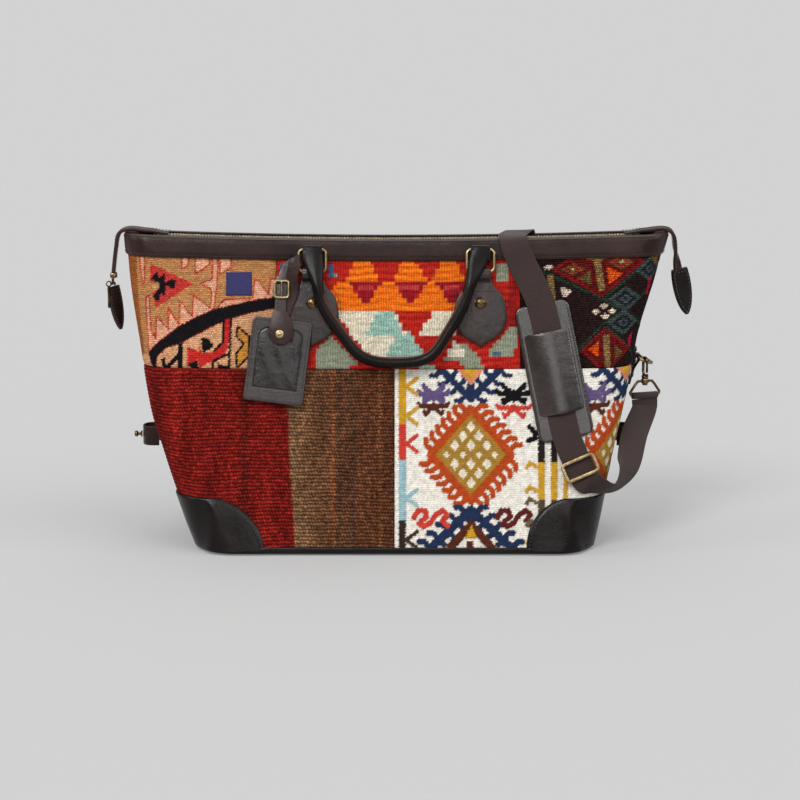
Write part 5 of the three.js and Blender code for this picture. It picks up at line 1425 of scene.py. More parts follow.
def make_tab(name, at, x):
    """A shield-shaped tab, its chape folded round the ring, and a stitched border."""
    outline = shield()
    body, faces = cushion(outline, np.array([0, -TAB_LENGTH * 0.45]), TAB_STAND, TAB_FACE, TAB_CROWN)
    front = [(TAB_FACE - 1.4, TAB_TOP - 2), (TAB_FACE - 0.2, TAB_TOP + 4)]
    front += [(RING_STAND + FOLD - 1.2, RING_LOW - 5)]
    round_bar = arc(CHAPE_BEND, -0.15, np.pi, 16, RING_STAND, RING_LOW)
    back = [(TAB_STAND + 1.1, RING_LOW - 6), (TAB_STAND + 1.1, TAB_TOP + 4)]
    chape = folded(x, front + round_bar + back, 3, rounded(NECK, 2.1, 0.7, 3))
    form = join((body + [x, 0, TAB_TOP], faces), chape)
    link(f"{name}_tab_leather", form, TAB_LEATHER, [f"{name}_handle_tab"], SHARP, at)
    border = stood(inset(outline[::-1], -2.6) + [x, TAB_TOP], TAB_FACE + 0.35)
    cross = [(x + a, -TAB_FACE - 0.8, TAB_TOP - 6) for a in np.linspace(-14, 14, 12)]
    runs = [(placed(line, at), carried((0, -1, 0), at)) for line in (border, cross)]
    stitches(f"{name}_tab_stitching", runs, DARK_THREAD, 2.7, 2.0, 0.8)


def make_ring(name, at, x):
    flat = rounded(RING_WIDTH - RING_WIRE, -RING_LOW, 4.5, 8) + [x, RING_LOW / 2]
    form = sweep(stood(flat, RING_STAND), (0, -1, 0), circle(RING_WIRE / 2, 14), closed=True)
    link(f"{name}_ring_wire", form, BRASS, [f"{name}_ring"], at=at)


def make_stud(name, at, x):
    r = STUD_WIDTH / 2
    q = np.linspace(0, np.pi / 2, 9)[:-1]
    crown = [(r * math.cos(a) * 0.94, 1.0 + 3.1 * math.sin(a)) for a in q] + [(0.2, 4.1)]
    foot = [(r * 0.9, 0), (r * 1.05, 0.1), (r * 1.06, 0.7), (r * 0.98, 0.95)]
    points, faces = dome(foot + crown, 32)
    form = (points + [x, -TAB_FACE - 0.8 * TAB_CROWN, TAB_TOP - TAB_LENGTH * 0.29], faces)
    link(f"{name}_stud_dome", form, DARK_BRASS, [f"{name}_stud"], at=at)


def handle_line():
    """The grip's middle: down from both rings to the bend, a little steeper on the left."""
    half = HANDLE_SPREAD / 2
    drop = HANDLE_DROP - HANDLE_THICK / 2 + HANDLE_SLACK
    stand = RING_STAND + FOLD + 2.6
    route = [(0, 0, RING_STAND + 3.4, -1), (0.4, 0.6, RING_STAND + 4.2, 5), (2, 4, stand - 0.6, 16),
             (5, 10, stand + 1.6, 34), (10, 17, stand + 1, 56), (26, 31, stand, 82),
             (52, 53, stand - 1, drop - 6), (half, half, stand - 1, drop)]
    left = [(inward - half, -out, -down) for inward, _, out, down in route]
    right = [(half - inward, -out, -down) for _, inward, out, down in route]
    return evenly(curve(left + right[-2::-1], 16), HANDLE_STEPS)


def make_handle(name, at):
    """The rolled handle: flat ends folded over the rings, a round grip and its raised seam."""
    line = handle_line()
    step = np.arange(HANDLE_STEPS)
    rolled = smooth(np.minimum(step, step[::-1]) / (HANDLE_STEPS - 1), 0.03, 0.15)[:, None]
    size = np.stack([mix(9.5, HANDLE_THICK / 2, rolled), mix(1.5, HANDLE_THICK / 2, rolled)], -1)
    parts = [sweep(line, (0, -1, 0), circle(1.0, 20) * size)]
    over = [(RING_STAND + 4.4, -10), (RING_STAND + 4.0, -4)]
    over += arc(3.5, -0.2, np.pi + 0.3, 18, RING_STAND)
    over += [(RING_STAND - 2.2, -6), (RING_STAND + 0.6, -13)]
    for x in (-HANDLE_SPREAD / 2, HANDLE_SPREAD / 2):
        parts.append(folded(x, over, 3, rounded(NECK - 0.4, 2.4, 0.9, 3)))
    body = f"{name}_handle"
    link(f"{name}_handle_leather", join(*parts), HANDLE_LEATHER, [body], 60, at, body)
    inward = -unit(np.cross(heading(line), (0, -1, 0)))
    lift = unit(0.86 * inward + np.array([0, -0.5, 0]))[HANDLE_SEAM]
    seam = line[HANDLE_SEAM] + lift * (HANDLE_THICK / 2 + 0.1)
    form = sweep(seam, lift, rounded(2.6, 1.5, 0.5, 2))
    link(f"{name}_handle_seam", form, EDGE_LEATHER, at=at, body=body)


for side_name, side_frame in (("front", FRONT_FRAME), ("back", BACK_FRAME)):
    for end_name, end_sign in ENDS:
        for make in (make_tab, make_ring, make_stud):
            make(f"{side_name}_{end_name}", side_frame, end_sign * HANDLE_SPREAD / 2)
    make_handle(side_name, side_frame)


# Zip: tapes, teeth, slider and the leather-bound tails
ZIP_HALF = TOP_LENGTH / 2 - TOP_CORNER
TAPE_INNER, TAPE_OUTER = CHAIN_WIDTH / 2 + GAP, TOP_DEPTH / 2 + LINING_OUT - 2
TOOTH_PITCH, TOOTH_ASIDE = 3.2, 1.1
TOOTH_STAGES = ((0, -1.2), (0, 1.6), (0.3, 2.2))
TAIL_RISE = TAIL_THICK / 2 + GAP + 0.2
LEAF_TURN, LEAF_LEAN = math.radians(34), math.radians(9)
FINE_THREAD = 0.6


def make_zip_tape(name, side):
    x = np.linspace(-ZIP_HALF, ZIP_HALF, 120)
    middle = side * (TAPE_INNER + TAPE_OUTER) / 2
    line = np.stack([x, np.full_like(x, middle), top_at(x) - LEATHER - GAP - 0.5], -1)
    form = sweep(line, (0, 0, 1), rounded(TAPE_OUTER - TAPE_INNER, 1.0, 0.4, 2))
    link(f"{name}_zip_tape_cloth", form, ZIP_TAPE, [f"{name}_zip_tape"])


def make_zip_teeth():
    """Teeth along the zip, to one side and the other by turns."""
    parts = []
    tooth = rounded(0.8, 4.0, 0.3, 2)
    for k, x in enumerate(np.arange(-ZIP_HALF + 2, ZIP_HALF - 2, TOOTH_PITCH / 2)):
        flat = tooth + [x, TOOTH_ASIDE if k % 2 else -TOOTH_ASIDE]
        floor = top_at(x) - LEATHER
        parts.append(stack([laid(inset(flat, inward), floor + rise) for inward, rise in TOOTH_STAGES]))
    link("zip_teeth", join(*parts), ZIP_BRASS, ["zip_chain"], 40)


def tail_route(end, reach_out, fall, forward):
    """The zip tail's way: along the zip, over the end of the mouth and down."""
    edge = TOP_LENGTH / 2

    def at(x, y, z, *face):
        return (end * x, y, HEIGHT + z), (end * face[0], face[1], face[2])

    return [
        at(edge - 44, 0, TAIL_RISE - 1.6 - sag(edge - 44, HEIGHT), 0, 0, 1),
        at(edge - 22, 0, TAIL_RISE - sag(edge - 22, HEIGHT), 0, 0, 1),
        at(edge - 1, 0, TAIL_RISE + 0.6, 0, 0, 1),
        at(edge + reach_out * 0.66, -forward, TAIL_RISE - 4, 0.7, 0, 0.7),
        at(edge + reach_out, -forward * 2, -18, 1, 0, 0),
        at(edge + reach_out + 3, -forward * 4, -fall, 1, -forward, 0),
    ]


def make_tail(name, end, reach_out, fall, forward, leather):
    """A zip tail: leather folded round the zip's end, stitched along both sides. Returns its tip."""
    line, facing = curves(tail_route(end, reach_out, fall, forward), 12)
    section = rounded(TAIL_WIDTH, TAIL_THICK, 1.4, 4)
    section[:, 1] *= 1 - 0.12 * (section[:, 0] / (TAIL_WIDTH / 2)) ** 2
    narrow = 1 - 0.5 * smooth(run(line), 40, 75)[:, None, None]
    thin = 0.3 + 0.7 * smooth(run(line), 0, 24)[:, None, None]
    form = sweep(line, facing, section * np.concatenate([narrow, thin], -1))
    link(f"{name}_zip_tail_leather", form, leather, [f"{name}_zip_tail"], SHARP)
    along = heading(line)
    across = unit(np.cross(along, facing))
    out = np.cross(across, along)
    half = (TAIL_WIDTH / 2 - 2.2) * narrow[:, :, 0]
    runs = [(line + side * across * half + out * TAIL_THICK / 2 * 0.9, out) for side in (-1, 1)]
    stitches(f"{name}_zip_tail_stitching", runs, thick=FINE_THREAD)
    return Vector(line[-1])


def leaf_outline(long):
    wide = LEAF_WIDTH
    return mirrored(bow((1, -long), (wide * 0.34, -long * 0.88), (wide * 0.45, -long * 0.6),
                        (wide * 0.56, -long * 0.3), (wide * 0.44, 0)))


def leaf_stitch_line(long):
    line = inset(leaf_outline(long), 2.2)
    return line[line[:, 1] < -3]


def make_slider(slide):
    """The slider's block and its bail."""
    flat = rounded(7, 9, 2, 5)
    stages = ((1, -6.0), (0, -5.4), (0, -1.2), (0.8, -0.4))
    block = stack([laid(inset(flat, inward), z) for inward, z in stages])
    ring = rounded(8, 10, 3, 6)
    line = np.stack([np.full(len(ring), -1.0), ring[:, 1], ring[:, 0] - 8.6], -1)
    bail = sweep(line, (1, 0, 0), circle(0.8, 10), True)
    link("zip_slider_body", join(block, bail), DARK_BRASS, ["zip_slider"], 45, slide)


def make_pull_leaf(slide):
    """The leaf on the bail: its folded head, the leaf and a stitched line on both faces."""
    pull = slide @ Matrix.Translation((-1, 0, -12.6)) @ Matrix.Rotation(-LEAF_LEAN, 4, "Y")
    pull = pull @ Matrix.Rotation(math.pi / 2, 4, "Z")
    hang = Matrix.Translation((0, 0, -2.2)) @ Matrix.Rotation(-LEAF_TURN, 4, "Z")
    places = [(-y, z) for y, z in arc(2.1, -0.6, np.pi + 0.6, 20)]
    head = folded(0, places, 2, rounded(5.4, 1.6, 0.6, 2))
    leaf, faces = plate(leaf_outline(LEAF_LENGTH), -1.3, 1.3, 0.8)
    form = join(head, (placed(leaf, hang), faces))
    nodes = ["zip_pull_leaf"]
    link("zip_pull_leaf_leather", form, TAG_LEATHER, nodes, SHARP, pull, "zip_pull")
    hang = pull @ hang
    line = leaf_stitch_line(LEAF_LENGTH)
    runs = [(placed(stood(line, -side * 1.35), hang), carried((0, side, 0), hang)) for side in (-1, 1)]
    stitches("zip_pull_leaf_stitching", runs, thick=FINE_THREAD, body="zip_pull")


def make_pull_bar(slide):
    """The slider's own small bar, beside the leaf."""
    line = [(0, 0, z) for z in np.linspace(-2.2, -25, 12)]
    bar = sweep(line, (0, 1, 0), rounded(2.8, 1.3, 0.5, 2))
    eye = sweep(stood(circle(2.6, 20), 0), (0, 1, 0), circle(0.7, 8), True)
    at = slide @ Matrix.Translation((-4.4, -8.1, -11.4)) @ Matrix.Rotation(0.5, 4, "Z")
    link("zip_pull_bar_brass", join(bar, eye), DARK_BRASS, (), SHARP, at, "zip_pull")


def make_tail_leaf(tip):
    """The leaf sewn to the right tail: two layers and a stitched line."""
    at = Matrix.Translation((tip.x + 1.5, tip.y, tip.z + 2)) @ Matrix.Rotation(-0.19, 4, "Y")
    at = at @ Matrix.Rotation(0.25, 4, "Z")
    outline = leaf_outline(LEAF_LENGTH + 2)
    front = plate(outline, -0.2, 1.6, 0.7)
    link("right_zip_tail_leaf", front, BLACK_LEATHER, (), SHARP, at)
    back = plate(inset(outline, -0.5), -1.8, -0.3, 0.4)
    link("right_zip_tail_leaf_back", back, BLACK_LEATHER, (), SHARP, at)
    line = placed(stood(leaf_stitch_line(LEAF_LENGTH + 2), 1.65), at)
    stitches("right_zip_tail_leaf_stitching", [(line, carried((0, -1, 0), at))], thick=FINE_THREAD)


def make_zip():
    for name, side in SIDES:
        make_zip_tape(name, side)
    make_zip_teeth()
    slide = Matrix.Translation(make_tail("left", -1, 11, 42, 0, STRAP_LEATHER))
    make_slider(slide)
    make_pull_leaf(slide)
    make_pull_bar(slide)
    make_tail_leaf(make_tail("right", 1, 9, 40, 1.6, DARK_LEATHER))


make_zip()


# End trim: seam strips, cinch loops, D-rings and the clips of the strap
LOOP_LEVEL, LOOP_TALL, LOOP_REACH = 107, 20, 17
CINCH_STUD = [(0.2, 0), (3.6, 0), (3.7, 0.6), (3.2, 1.1), (1.6, 2), (1.5, 4), (2.6, 4.6), (3.3, 5.6),
              (3.2, 7), (2.4, 8), (0.2, 8.3)]
POST = [(0.2, 0.2), (3.0, 0), (3.6, -0.7), (3.6, -2.9), (3.1, -3.6), (1.6, -3.7), (1.6, -9.2),
        (2.8, -9.4), (2.6, -10.6), (0.2, -10.8)]
COLLAR = [(2.1, -3.95), (3.5, -4), (4, -4.8), (4, -7.8), (3.4, -8.8), (2.1, -8.9)]
WRAP, WRAP_STEPS = 2.6, 24


def make_seam_strip(name, end):
    """The strip over an end seam, stitched along both sides."""
    levels = np.linspace(PATCH_HEIGHT + 1, D_LEVEL + 10, 60)
    wide = np.linspace(-STRIP_WIDTH / 2, STRIP_WIDTH / 2, 13)
    rings = []
    for z in levels:
        outer = [on_end(end, y, z, STRIP_FACE - 0.5 * (abs(y) / 15) ** 8) for y in wide]
        rings.append(outer + [on_end(end, y, z, STRIP_OUT) for y in wide[::-1]])
    form = outward(stack(rings), end < 0)
    link(f"{name}_seam_strip_leather", form, BLACK_LEATHER, [f"{name}_seam_strip"], SHARP)
    runs = []
    for y in (-12, 12):
        runs.append(([on_end(end, y, z, STRIP_FACE + 0.1) for z in levels[1:-1]], (end, 0, 0.1)))
    stitches(f"{name}_seam_strip_stitching", runs, thick=FINE_THREAD)


def make_cinch(name, end):
    """A loop that stands off the strip, and the stud that closes it."""
    line = []
    for a in np.linspace(0, np.pi, 41):
        out = STRIP_FACE + GAP + 1 + LOOP_REACH * math.sqrt(max(0, math.sin(a)))
        line.append(on_end(end, -math.cos(a) * (STRIP_WIDTH / 2 - 1), LOOP_LEVEL, out))
    line = evenly(np.array(line), 60)
    facing = np.cross(np.gradient(line, axis=0), [0, 0, 1]) * end
    loop = sweep(line, facing, rounded(LOOP_TALL, LEATHER, 0.8, 3))
    link(f"{name}_cinch_loop_leather", loop, DARK_LEATHER, [f"{name}_cinch_loop"], SHARP)
    seat = on_end(end, 0, LOOP_LEVEL, STRIP_FACE + 2 * GAP + LOOP_REACH + LEATHER + 0.6)
    at = Matrix.Translation(seat) @ Matrix.Rotation(end * math.pi / 2, 4, "Z")
    stud = dome(CINCH_STUD, 20)
    link(f"{name}_cinch_stud_brass", stud, DARK_BRASS, [f"{name}_cinch_stud"], SHARP, at)


def make_d_ring(name, end):
    """A D-ring, the chape that holds it and the chape's rivet."""
    at = d_ring_frame(end)
    route = [(D_STAND + 1.2, -29.5), (D_STAND + 2.2, -12)]
    route += arc(D_FOLD - 0.9, -0.3, np.pi, 18, D_STAND + D_FOLD)
    route += [(D_STAND + 0.9, -6), (D_STAND + 0.7, -24)]
    line = curve([(x, 0, z) for x, z in route], 3)
    chape = sweep(line, np.cross(heading(line), [0, 1, 0]), rounded(CHAPE_WIDTH, 1.7, 0.6, 3))
    nodes = [f"{name}_d_ring_chape"]
    link(f"{name}_d_ring_chape_leather", chape, DARK_LEATHER, nodes, SHARP, at)
    rivet = dome([(2.9, 0), (3.0, 0.5), (2.4, 1.1), (0.2, 1.4)], 18)
    seat = at @ Matrix.Translation((D_STAND + 2.6, 0, -20)) @ Matrix.Rotation(math.pi / 2, 4, "Z")
    link(f"{name}_d_ring_rivet", rivet, DARK_BRASS, at=seat)
    ring, normal = d_ring_line(end, 28)
    wire = sweep(ring, normal, circle(D_WIRE / 2, 12), closed=True)
    link(f"{name}_d_ring_wire", wire, BRASS, [f"{name}_d_ring"], at=at)


def make_hook(name, at):
    """A swivel snap hook and its sprung gate."""
    half, crown, throat = HOOK_HALF, HOOK_CROWN, HOOK_THROAT
    bend = [(half, crown - 3.4)] + arc(half, 0, np.pi, 14, 0, crown)
    bend += [(-half, crown - 5), (-half, throat), (-half * 0.6, throat - 3), (0, throat - 4.5)]
    line = curve(stood(np.array(bend), 0), 4)
    thick = mix(0.8, 1.0, smooth(run(line), 0, 6))[:, None, None]
    wire = sweep(line, (0, 1, 0), circle(1.5, 12) * thick)
    line = curve([(0, 0, throat - 3.6), (half, 0, throat - 3.2), (half + 0.6, 0, throat - 2)], 6)
    toe = sweep(line, (0, 1, 0), circle(1.4, 12))
    post = turned([(r, HOOK_POST + z) for r, z in POST])
    hook = f"{name}_hook"
    link(f"{hook}_brass", join(wire, toe, post), DARK_BRASS, [hook], SHARP, at, hook)
    line = [(half, 0, z) for z in np.linspace(throat - 0.2, crown - 3.8, 8)]
    gate = sweep(line, (0, 1, 0), circle(1.2, 12))
    nodes = [f"{hook}_gate"]
    link(f"{hook}_gate_brass", gate, DARK_BRASS, nodes, SHARP, at, f"{name}_gate")


def make_eye(name, at):
    """The wide eye under the hook, and the end of the webbing sewn round it."""
    flat = rounded(WEBBING + 1.6 + EYE_WIRE, EYE_TALL, 3.4, 6)
    flat[:, 0] *= 1 - 0.45 * smooth(flat[:, 1], -EYE_TALL * 0.2, EYE_TALL / 2)
    flat[:, 1] += HOOK_POST - EYE_DROP - EYE_TALL / 2
    loop = sweep(stood(flat, 0), (0, 1, 0), circle(EYE_WIRE / 2, 12), True)
    collar = turned([(r, HOOK_POST + z) for r, z in COLLAR])
    nodes = [f"{name}_strap_eye"]
    link(f"{name}_strap_eye_brass", join(loop, collar), DARK_BRASS, nodes, SHARP, at)
    q = np.arange(WRAP_STEPS) * TURN / WRAP_STEPS
    facing = np.stack([np.zeros(WRAP_STEPS), np.cos(q), np.sin(q)], -1)
    line = WRAP * facing + [0, 0, EYE_BAR]
    points, faces = sweep(line, facing, rounded(WEBBING, WEBBING_THICK, 0.7, 2), closed=True)
    fold = link(f"{name}_webbing_fold", (points, faces), WEB, (), SHARP, at)
    set_cloth(fold, points[:, 0], np.repeat(q * WRAP, len(points) // WRAP_STEPS))


for end_name, end_sign in ENDS:
    make_seam_strip(end_name, end_sign)
    make_cinch(end_name, end_sign)
    make_d_ring(end_name, end_sign)
    hook_frame, eye_frame = LEFT_CLIP if end_sign < 0 else RIGHT_CLIP
    make_hook(end_name, hook_frame)
    make_eye(end_name, eye_frame)


# Shoulder pad, its cover and the slide adjuster
PAD_RUN = math.dist(PAD_HEAD, PAD_FOOT)
PAD_WAY = ((PAD_HEAD[0] - PAD_FOOT[0]) / PAD_RUN, (PAD_HEAD[1] - PAD_FOOT[1]) / PAD_RUN)
PAD_BACK = RELIEF + GAP + 0.2
PAD_FACE = PAD_BACK + LEATHER
COVER_WIDTH, COVER_SKIN, COVER_CROWN = PAD_WIDTH - 11, 1.4, 7.2
ADJUSTER_WIRE = 3.4


def beside_strap(along, aside, out):
    x = PAD_MIDDLE[0] + along * PAD_WAY[0] + aside * PAD_WAY[1]
    z = PAD_MIDDLE[1] + along * PAD_WAY[1] - aside * PAD_WAY[0]
    return tuple(on_front(x, z, out))


def pad_shape(long, wide, corner, rows, columns, low, high, rise, skin, shift=0.0):
    """A rounded leather layer beside the strap, whose face lies at high plus rise(along, aside)."""
    top, under = [], []
    for a in np.linspace(-long / 2, long / 2, rows):
        past = max(0, abs(a) - long / 2 + corner)
        half = wide / 2 - corner + math.sqrt(max(0, corner**2 - past**2))
        for b in np.linspace(-half, half, columns):
            edge = min(half - abs(b), long / 2 - abs(a))
            out = low + (high - low) * (0.35 + 0.65 * float(smooth(edge, 0, 1.6))) + rise(a, b)
            top.append(beside_strap(a + shift, b, out))
            under.append(beside_strap(a + shift, b, low + max(0, rise(a, b) - skin)))
    face = quads(columns, rows)
    count = rows * columns
    ids = np.arange(count).reshape(rows, columns)
    rim = np.concatenate([ids[0], ids[1:, -1], ids[-1, -2::-1], ids[-2:0:-1, 0]]).tolist()
    faces = flip(face) + [[i + count for i in f] for f in face]
    faces += [[a, b, b + count, a + count] for a, b in zip(rim, rim[1:] + rim[:1])]
    return top + under, faces


def pad_rise(a, b):
    """The pad's face is a little uneven."""
    return 0.25 * math.sin(a / 17) * math.sin(b / 11 + 1)


def cover_rise(a, b):
    """The cover lies on the pad at its sides and swells over the webbing."""
    return COVER_CROWN * max(0, 1 - (b / (COVER_WIDTH / 2)) ** 2) * (1 - 0.12 * (2 * a / PAD_COVER) ** 2)


def make_pad():
    body = "shoulder_pad"
    form = pad_shape(PAD_LENGTH, PAD_WIDTH, 9, 90, 38, PAD_BACK, PAD_FACE, pad_rise, 0.2)
    pad = link("shoulder_pad_leather", form, PAD_LEATHER, [body], 60, body=body)
    low = PAD_FACE + 0.3
    form = pad_shape(PAD_COVER, COVER_WIDTH, 1.5, 56, 40, low, low + 0.3, cover_rise, COVER_SKIN, -0.8)
    nodes = ["shoulder_pad_cover"]
    link("shoulder_pad_cover_leather", form, PAD_LEATHER, nodes, 60, body=body)
    span = PAD_LENGTH / 2 - 7
    runs = []
    for aside in (3 - PAD_WIDTH / 2, PAD_WIDTH / 2 - 3):
        line = [beside_strap(a, aside, PAD_FACE + 0.25) for a in np.linspace(-span, span, 60)]
        runs.append((line, OUT_OF_FACE))
    stitches("shoulder_pad_stitching", runs, DARK_THREAD, 3.0, 2.2, 0.9, body)


def make_adjuster():
    """Slide adjuster: a frame over the webbing and a bar under it."""
    way = (PAD_FOOT[0] - STRAP_FOOT[0], PAD_FOOT[1] - STRAP_FOOT[1])
    seat = Matrix.Translation(on_front(*STRAP_FOOT, STRAP_OUT)) @ LEANED
    seat = seat @ Matrix.Rotation(math.atan2(*way), 4, "Y")
    half = (WEBBING + 1.4 + ADJUSTER_WIRE) / 2
    over = WEBBING_THICK / 2 + GAP + ADJUSTER_WIRE / 2 + 0.3
    line = stood(rounded(2 * half, 18, 3.4, 6), over)
    loop = sweep(line, (0, 1, 0), rounded(ADJUSTER_WIRE, ADJUSTER_WIRE + 0.4, 0.7, 3), closed=True)
    line = curve([(-half, -over, 0), (-half, over * 0.8, 0), (1 - half, over, 0), (0, over, 0),
                  (half - 1, over, 0), (half, over * 0.8, 0), (half, -over, 0)], 6)
    form = join(loop, sweep(line, (0, 0, 1), circle(0.95, 10)))
    link("strap_adjuster_brass", form, BRASS, ["strap_adjuster"], SHARP, seat)


make_pad()
make_adjuster()
declare_strap()


# Luggage tag and label
TAG_TURN = Matrix.Rotation(math.radians(TAG_TILT), 4, "Y")
TAG_SEAT = Matrix.Translation(on_front(*TAG_AT, 0)) @ LEANED @ TAG_TURN
TAG_THICK = 1.6
TAG_BACK = TAB_FACE + GAP + 0.3
TAG_FLOOR = TAG_BACK + TAG_THICK
TAG_FACE = TAG_BACK + 2 * TAG_THICK
TAG_OUTLINE = rounded(TAG_WIDTH, TAG_LENGTH, 4, 6)
RING_EDGE = -HANDLE_SPREAD / 2 - RING_WIDTH / 2
TONGUE = TAG_FACE + GAP + 0.8
TAG_STEPS = 12
LABEL_BOX = (-174.5, -148, 259, 282.5)
LABEL_GRID = (30, 28)


def window_outline(ease):
    """The tag's window: square below, rounded above."""
    w = TAG_WIDTH / 2 - 8 - ease
    low, high = -TAG_LENGTH / 2 + 14 + ease, TAG_LENGTH / 2 - 10 - ease
    corner = 10 - ease
    arch = np.array(arc(corner, 0, np.pi / 2, 8, w - corner, high - corner))
    return np.vstack([[(-w, low), (w, low)], mirrored(arch)])


def by_angle(outline, angles):
    """An outline's points in the given directions from the origin."""
    dense = evenly(np.vstack([outline, outline[:1]]), 1200)
    q = np.arctan2(dense[:, 1], dense[:, 0])
    order = np.argsort(q)
    r = np.interp(angles, q[order], np.hypot(*dense[order].T), period=2 * np.pi)
    return np.stack([r * np.cos(angles), r * np.sin(angles)], -1)


def tag_angles():
    """Even directions from the tag's middle, and those to the corners of its rim and window."""
    corners = np.vstack([TAG_OUTLINE, window_outline(0)])
    angles = [np.linspace(-np.pi, np.pi, 121)[:-1], np.arctan2(corners[:, 1], corners[:, 0])]
    return np.unique(np.concatenate(angles).round(4))


def tag_border(angles):
    """The frame round the window: over the outer rim, across the face and down into the window."""
    outer, hole = by_angle(TAG_OUTLINE, angles), by_angle(window_outline(0), angles)
    face = TAG_FACE
    stages = [(outer, 0, TAG_FLOOR), (outer, 0, face - 0.6), (outer, 0.012, face - 0.1),
              (outer, 0.03, face), (outer, 0.05, face), (hole, -0.06, face), (hole, -0.03, face),
              (hole, -0.01, face - 0.2), (hole, 0, face - 0.7), (hole, 0, TAG_FLOOR)]
    rings = [stood(flat * (1 - shrink), out) for flat, shrink, out in stages]
    return np.vstack(rings), quads(len(angles), len(rings), ring=True)


def tag_flap(angles):
    """The crumpled flap inside the window."""
    inner = by_angle(window_outline(0.6), angles)
    lifts = [(1, -0.2), (1, 0.3), (0.98, 0.5), (0.94, 0.55)]
    lifts += [(r, 0.5 + 1.1 * (1 - r * r)) for r in np.linspace(0.88, 0.02, 14)]
    rings = []
    for r, lift in lifts:
        x, z = r * inner.T
        crumple = np.sin(x / 3.1 + 1.6 * np.sin(z / 11)) * np.sin(z / 13 + 0.6)
        out = TAG_FLOOR + lift + 0.35 * crumple * smooth(1 - r, 0.03, 0.25)
        rings.append(stood(r * inner, out))
    count = len(angles)
    return np.vstack(rings), quads(count, len(rings), ring=True) + caps(count, len(rings))[1:]


def make_tag():
    """The tag: a back, a stitched frame round its window and the flap inside it."""
    angles = tag_angles()
    link("luggage_tag_flap", tag_flap(angles), FLAP_LEATHER, (), SHARP, TAG_SEAT)
    back = plate(TAG_OUTLINE, TAG_BACK, TAG_FLOOR, 0.6)
    form = join(back, tag_border(angles))
    link("luggage_tag_leather", form, TAG_LEATHER, ["luggage_tag"], 35, TAG_SEAT)
    flat = inset(TAG_OUTLINE, 2.6)
    line = placed(stood(np.vstack([flat, flat[:1]]), TAG_FACE + 0.1), TAG_SEAT)
    runs = [(line, carried((0, -1, 0), TAG_SEAT))]
    stitches("luggage_tag_stitching", runs, DARK_THREAD, 2.6, 1.8, 0.8)


def tag_strap_route():
    """The tag's strap: up from the tongue, through the buckle, round the ring and down behind itself."""
    behind = RING_STAND - RING_WIRE / 2 - GAP - 1.2
    before = RING_STAND + RING_WIRE / 2 + GAP + 1.2
    ahead, aside, back = (0, -1, 0), (-1, 0, 0), (0, 1, 0)
    places = [(-18, TONGUE, 92, ahead), (-17.5, TONGUE, 74, ahead), (-16.5, TONGUE - 0.3, 53, ahead),
              (-14.5, TONGUE - 1.4, 33, ahead), (-8.5, behind + 0.4, 17, ahead),
              (1, behind - 0.3, 12, ahead), (5.6, RING_STAND, 11.6, aside), (0.6, before + 0.3, 12, back),
              (-4.6, before, 26, back), (-4.5, TAG_BACK + 2.2, 43, back),
              (-10, TAG_BACK + 1.2, 58, back), (-12, TAG_BACK + 1, 66, back)]
    return [((RING_EDGE + x, -out, -down), face) for x, out, down, face in places]


def make_tag_strap():
    """The strap's dark strand as far as the ring, and its redder strand back down."""
    line, facing = curves(tag_strap_route(), TAG_STEPS)
    turn = 5 * TAG_STEPS
    section = rounded(TAG_STRAP, 1.5, 0.5, 3)
    front = sweep(line[: turn + 1], facing[: turn + 1], section)
    link("tag_strap_leather", front, TAB_LEATHER, ["tag_strap"], SHARP, FRONT_FRAME)
    rear = sweep(line[turn:], facing[turn:], section)
    link("tag_strap_return", rear, STRAP_LEATHER, (), SHARP, FRONT_FRAME)


def make_tag_tongue():
    """The strap's round tongue and its rivet."""
    x, z = RING_EDGE - 18, -84
    outline = arc(13, np.pi, 2 * np.pi, 24, x + 2, z - 1)
    outline += [(x + 14, z + 7), (x + 8, z + 20), (x - 5, z + 22), (x - 10, z + 8)]
    tongue = plate(np.array(outline)[::-1], TONGUE + 0.8, TONGUE + 2.2, 0.5)
    link("tag_tongue_leather", tongue, STRAP_LEATHER, (), SHARP, FRONT_FRAME)
    rivet, faces = dome([(4, 0), (4.1, 0.5), (3.2, 1.0), (2.2, 0.8), (1.6, 1.3), (0.2, 1.5)], 24)
    form = (rivet + [x + 0.5, -TONGUE - 2.2, z - 3], faces)
    link("tag_rivet_brass", form, BRASS, (), SHARP, FRONT_FRAME)


def make_tag_buckle():
    """The buckle's frame and prong."""
    middle = (RING_EDGE - 15.6, -TONGUE - 2.6, -41)
    line = stood(rounded(14, 17, 2.5, 6), 0) + middle
    loop = sweep(line, (0, 1, 0), rounded(2.2, 2.0, 0.7, 2), True)
    line = curve([(0, 0.4, 8.2), (0, -1.2, 8.4), (0.1, -1.3, 3), (0.2, -0.8, -7.6)], 6) + middle
    prong = sweep(line, (0, 1, 0), circle(0.9, 8))
    link("tag_buckle_brass", join(loop, prong), BRASS, ["tag_buckle"], SHARP, FRONT_FRAME)


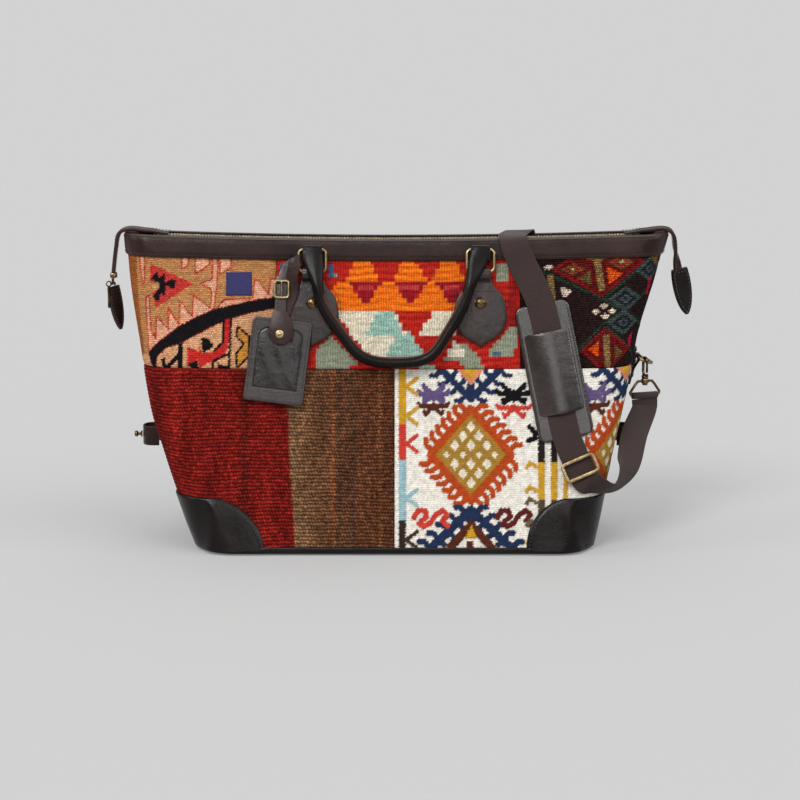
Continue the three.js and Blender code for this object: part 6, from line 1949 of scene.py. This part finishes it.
def make_label():
    """A bare woven label, sewn at its edges."""
    left, right, low, high = LABEL_BOX
    u, v = np.meshgrid(*(np.linspace(0, 1, count) for count in LABEL_GRID))
    x, z = mix(left, right, u), mix(low, high, v)
    edge = np.minimum(np.minimum(u, 1 - u) * (right - left), np.minimum(v, 1 - v) * (high - low))
    out = 0.5 + 0.7 * smooth(edge, 0, 1.2) + 0.12 * np.sin(x * 0.7) * np.sin(z * 0.9)
    out[[0, -1]] = 0.1
    out[:, [0, -1]] = 0.1
    points = [on_front(*place) for place in zip(x.ravel(), z.ravel(), out.ravel())]
    link("woven_label", (points, quads(*LABEL_GRID)), LABEL)
    left, right, low, high = left + 1, right - 1, low + 1, high - 1
    corners = [(left, low), (right, low), (right, high), (left, high), (left, low)]
    line = evenly(np.array([on_front(a, b, 1.25) for a, b in corners]), 90)
    stitches("woven_label_stitching", [(line, OUT_OF_FACE)], LABEL, 2.4, 1.7, 0.5)


make_tag()
make_tag_strap()
make_tag_tongue()
make_tag_buckle()
make_label()


# Studio: a pale floor and soft light from above and both sides
PALE = (210, 210, 210)
FLOOR_GREY = (176, 176, 176)
GLOW = 0.25
FLOOR_REACH = 60
CEILING_FROM, CEILING_TO = 0.25, 0.9
ROUND_LIGHT, CEILING_LIGHT = 0.17, 0.9


def floor_material():
    """A pale floor that shows its own colour to the camera and still takes the bag's shadow."""
    n = Nodes("studio_grey", 0.9)
    n.finish(shade(FLOOR_GREY), Specular_IOR_Level=0.0)
    path = n.add("ShaderNodeLightPath")
    seen = n.maths("MAXIMUM", path.outputs["Is Camera Ray"], path.outputs["Is Glossy Ray"])
    seen = n.maths("MAXIMUM", seen, path.outputs["Is Transmission Ray"])
    glow = n.add("ShaderNodeEmission", {"Color": shade(PALE), "Strength": 1.0})
    both = n.add("ShaderNodeMixShader", {0: n.times(seen, GLOW)})
    n.put(both.inputs[1], n.shader.outputs[0])
    n.put(both.inputs[2], glow.outputs[0])
    n.put(n.tree.nodes["Material Output"].inputs[0], both.outputs[0])
    return n.material


def make_floor():
    r = FLOOR_REACH
    mesh = bpy.data.meshes.new("studio_floor")
    mesh.from_pydata([(-r, -r, 0), (r, -r, 0), (r, r, 0), (-r, r, 0)], [], [(0, 1, 2, 3)])
    mesh.materials.append(floor_material())
    floor = bpy.data.objects.new("studio_floor", mesh)
    bpy.context.scene.collection.objects.link(floor)


def make_world():
    """Soft light that is dim all round and bright overhead, as under a wide studio ceiling."""
    world = bpy.data.worlds.new("studio")
    world.use_nodes = True
    nodes, links = world.node_tree.nodes, world.node_tree.links
    light = nodes["Background"]
    light.inputs["Color"].default_value = (1, 1, 1, 1)
    split = nodes.new("ShaderNodeSeparateXYZ")
    ceiling = nodes.new("ShaderNodeMapRange")
    for socket, value in zip(ceiling.inputs[1:5], (CEILING_FROM, CEILING_TO, ROUND_LIGHT, CEILING_LIGHT)):
        socket.default_value = value
    links.new(nodes.new("ShaderNodeTexCoord").outputs["Generated"], split.inputs[0])
    links.new(split.outputs["Z"], ceiling.inputs[0])
    links.new(ceiling.outputs[0], light.inputs["Strength"])
    bpy.context.scene.world = world


def make_lamp(name, azimuth, elevation, strength, angle):
    """A broad soft lamp far away, turned azimuth degrees from the front towards the right."""
    data = bpy.data.lights.new(name, "SUN")
    data.energy = strength
    data.angle = math.radians(angle)
    obj = bpy.data.objects.new(name, data)
    obj.rotation_euler = (math.radians(90 - elevation), 0, math.radians(azimuth))
    bpy.context.scene.collection.objects.link(obj)


def make_studio():
    bpy.context.scene.view_settings.view_transform = "Standard"
    make_floor()
    make_world()
    make_lamp("key_lamp", -26, 42, 1.85, 24)
    make_lamp("front_lamp", 6, 19, 0.26, 22)
    make_lamp("fill_lamp", 44, 44, 0.7, 40)
    make_lamp("left_lamp", -80, 26, 0.5, 20)
    make_lamp("right_lamp", 80, 26, 0.5, 20)
    make_lamp("back_lamp", 180, 50, 0.6, 60)


make_studio()
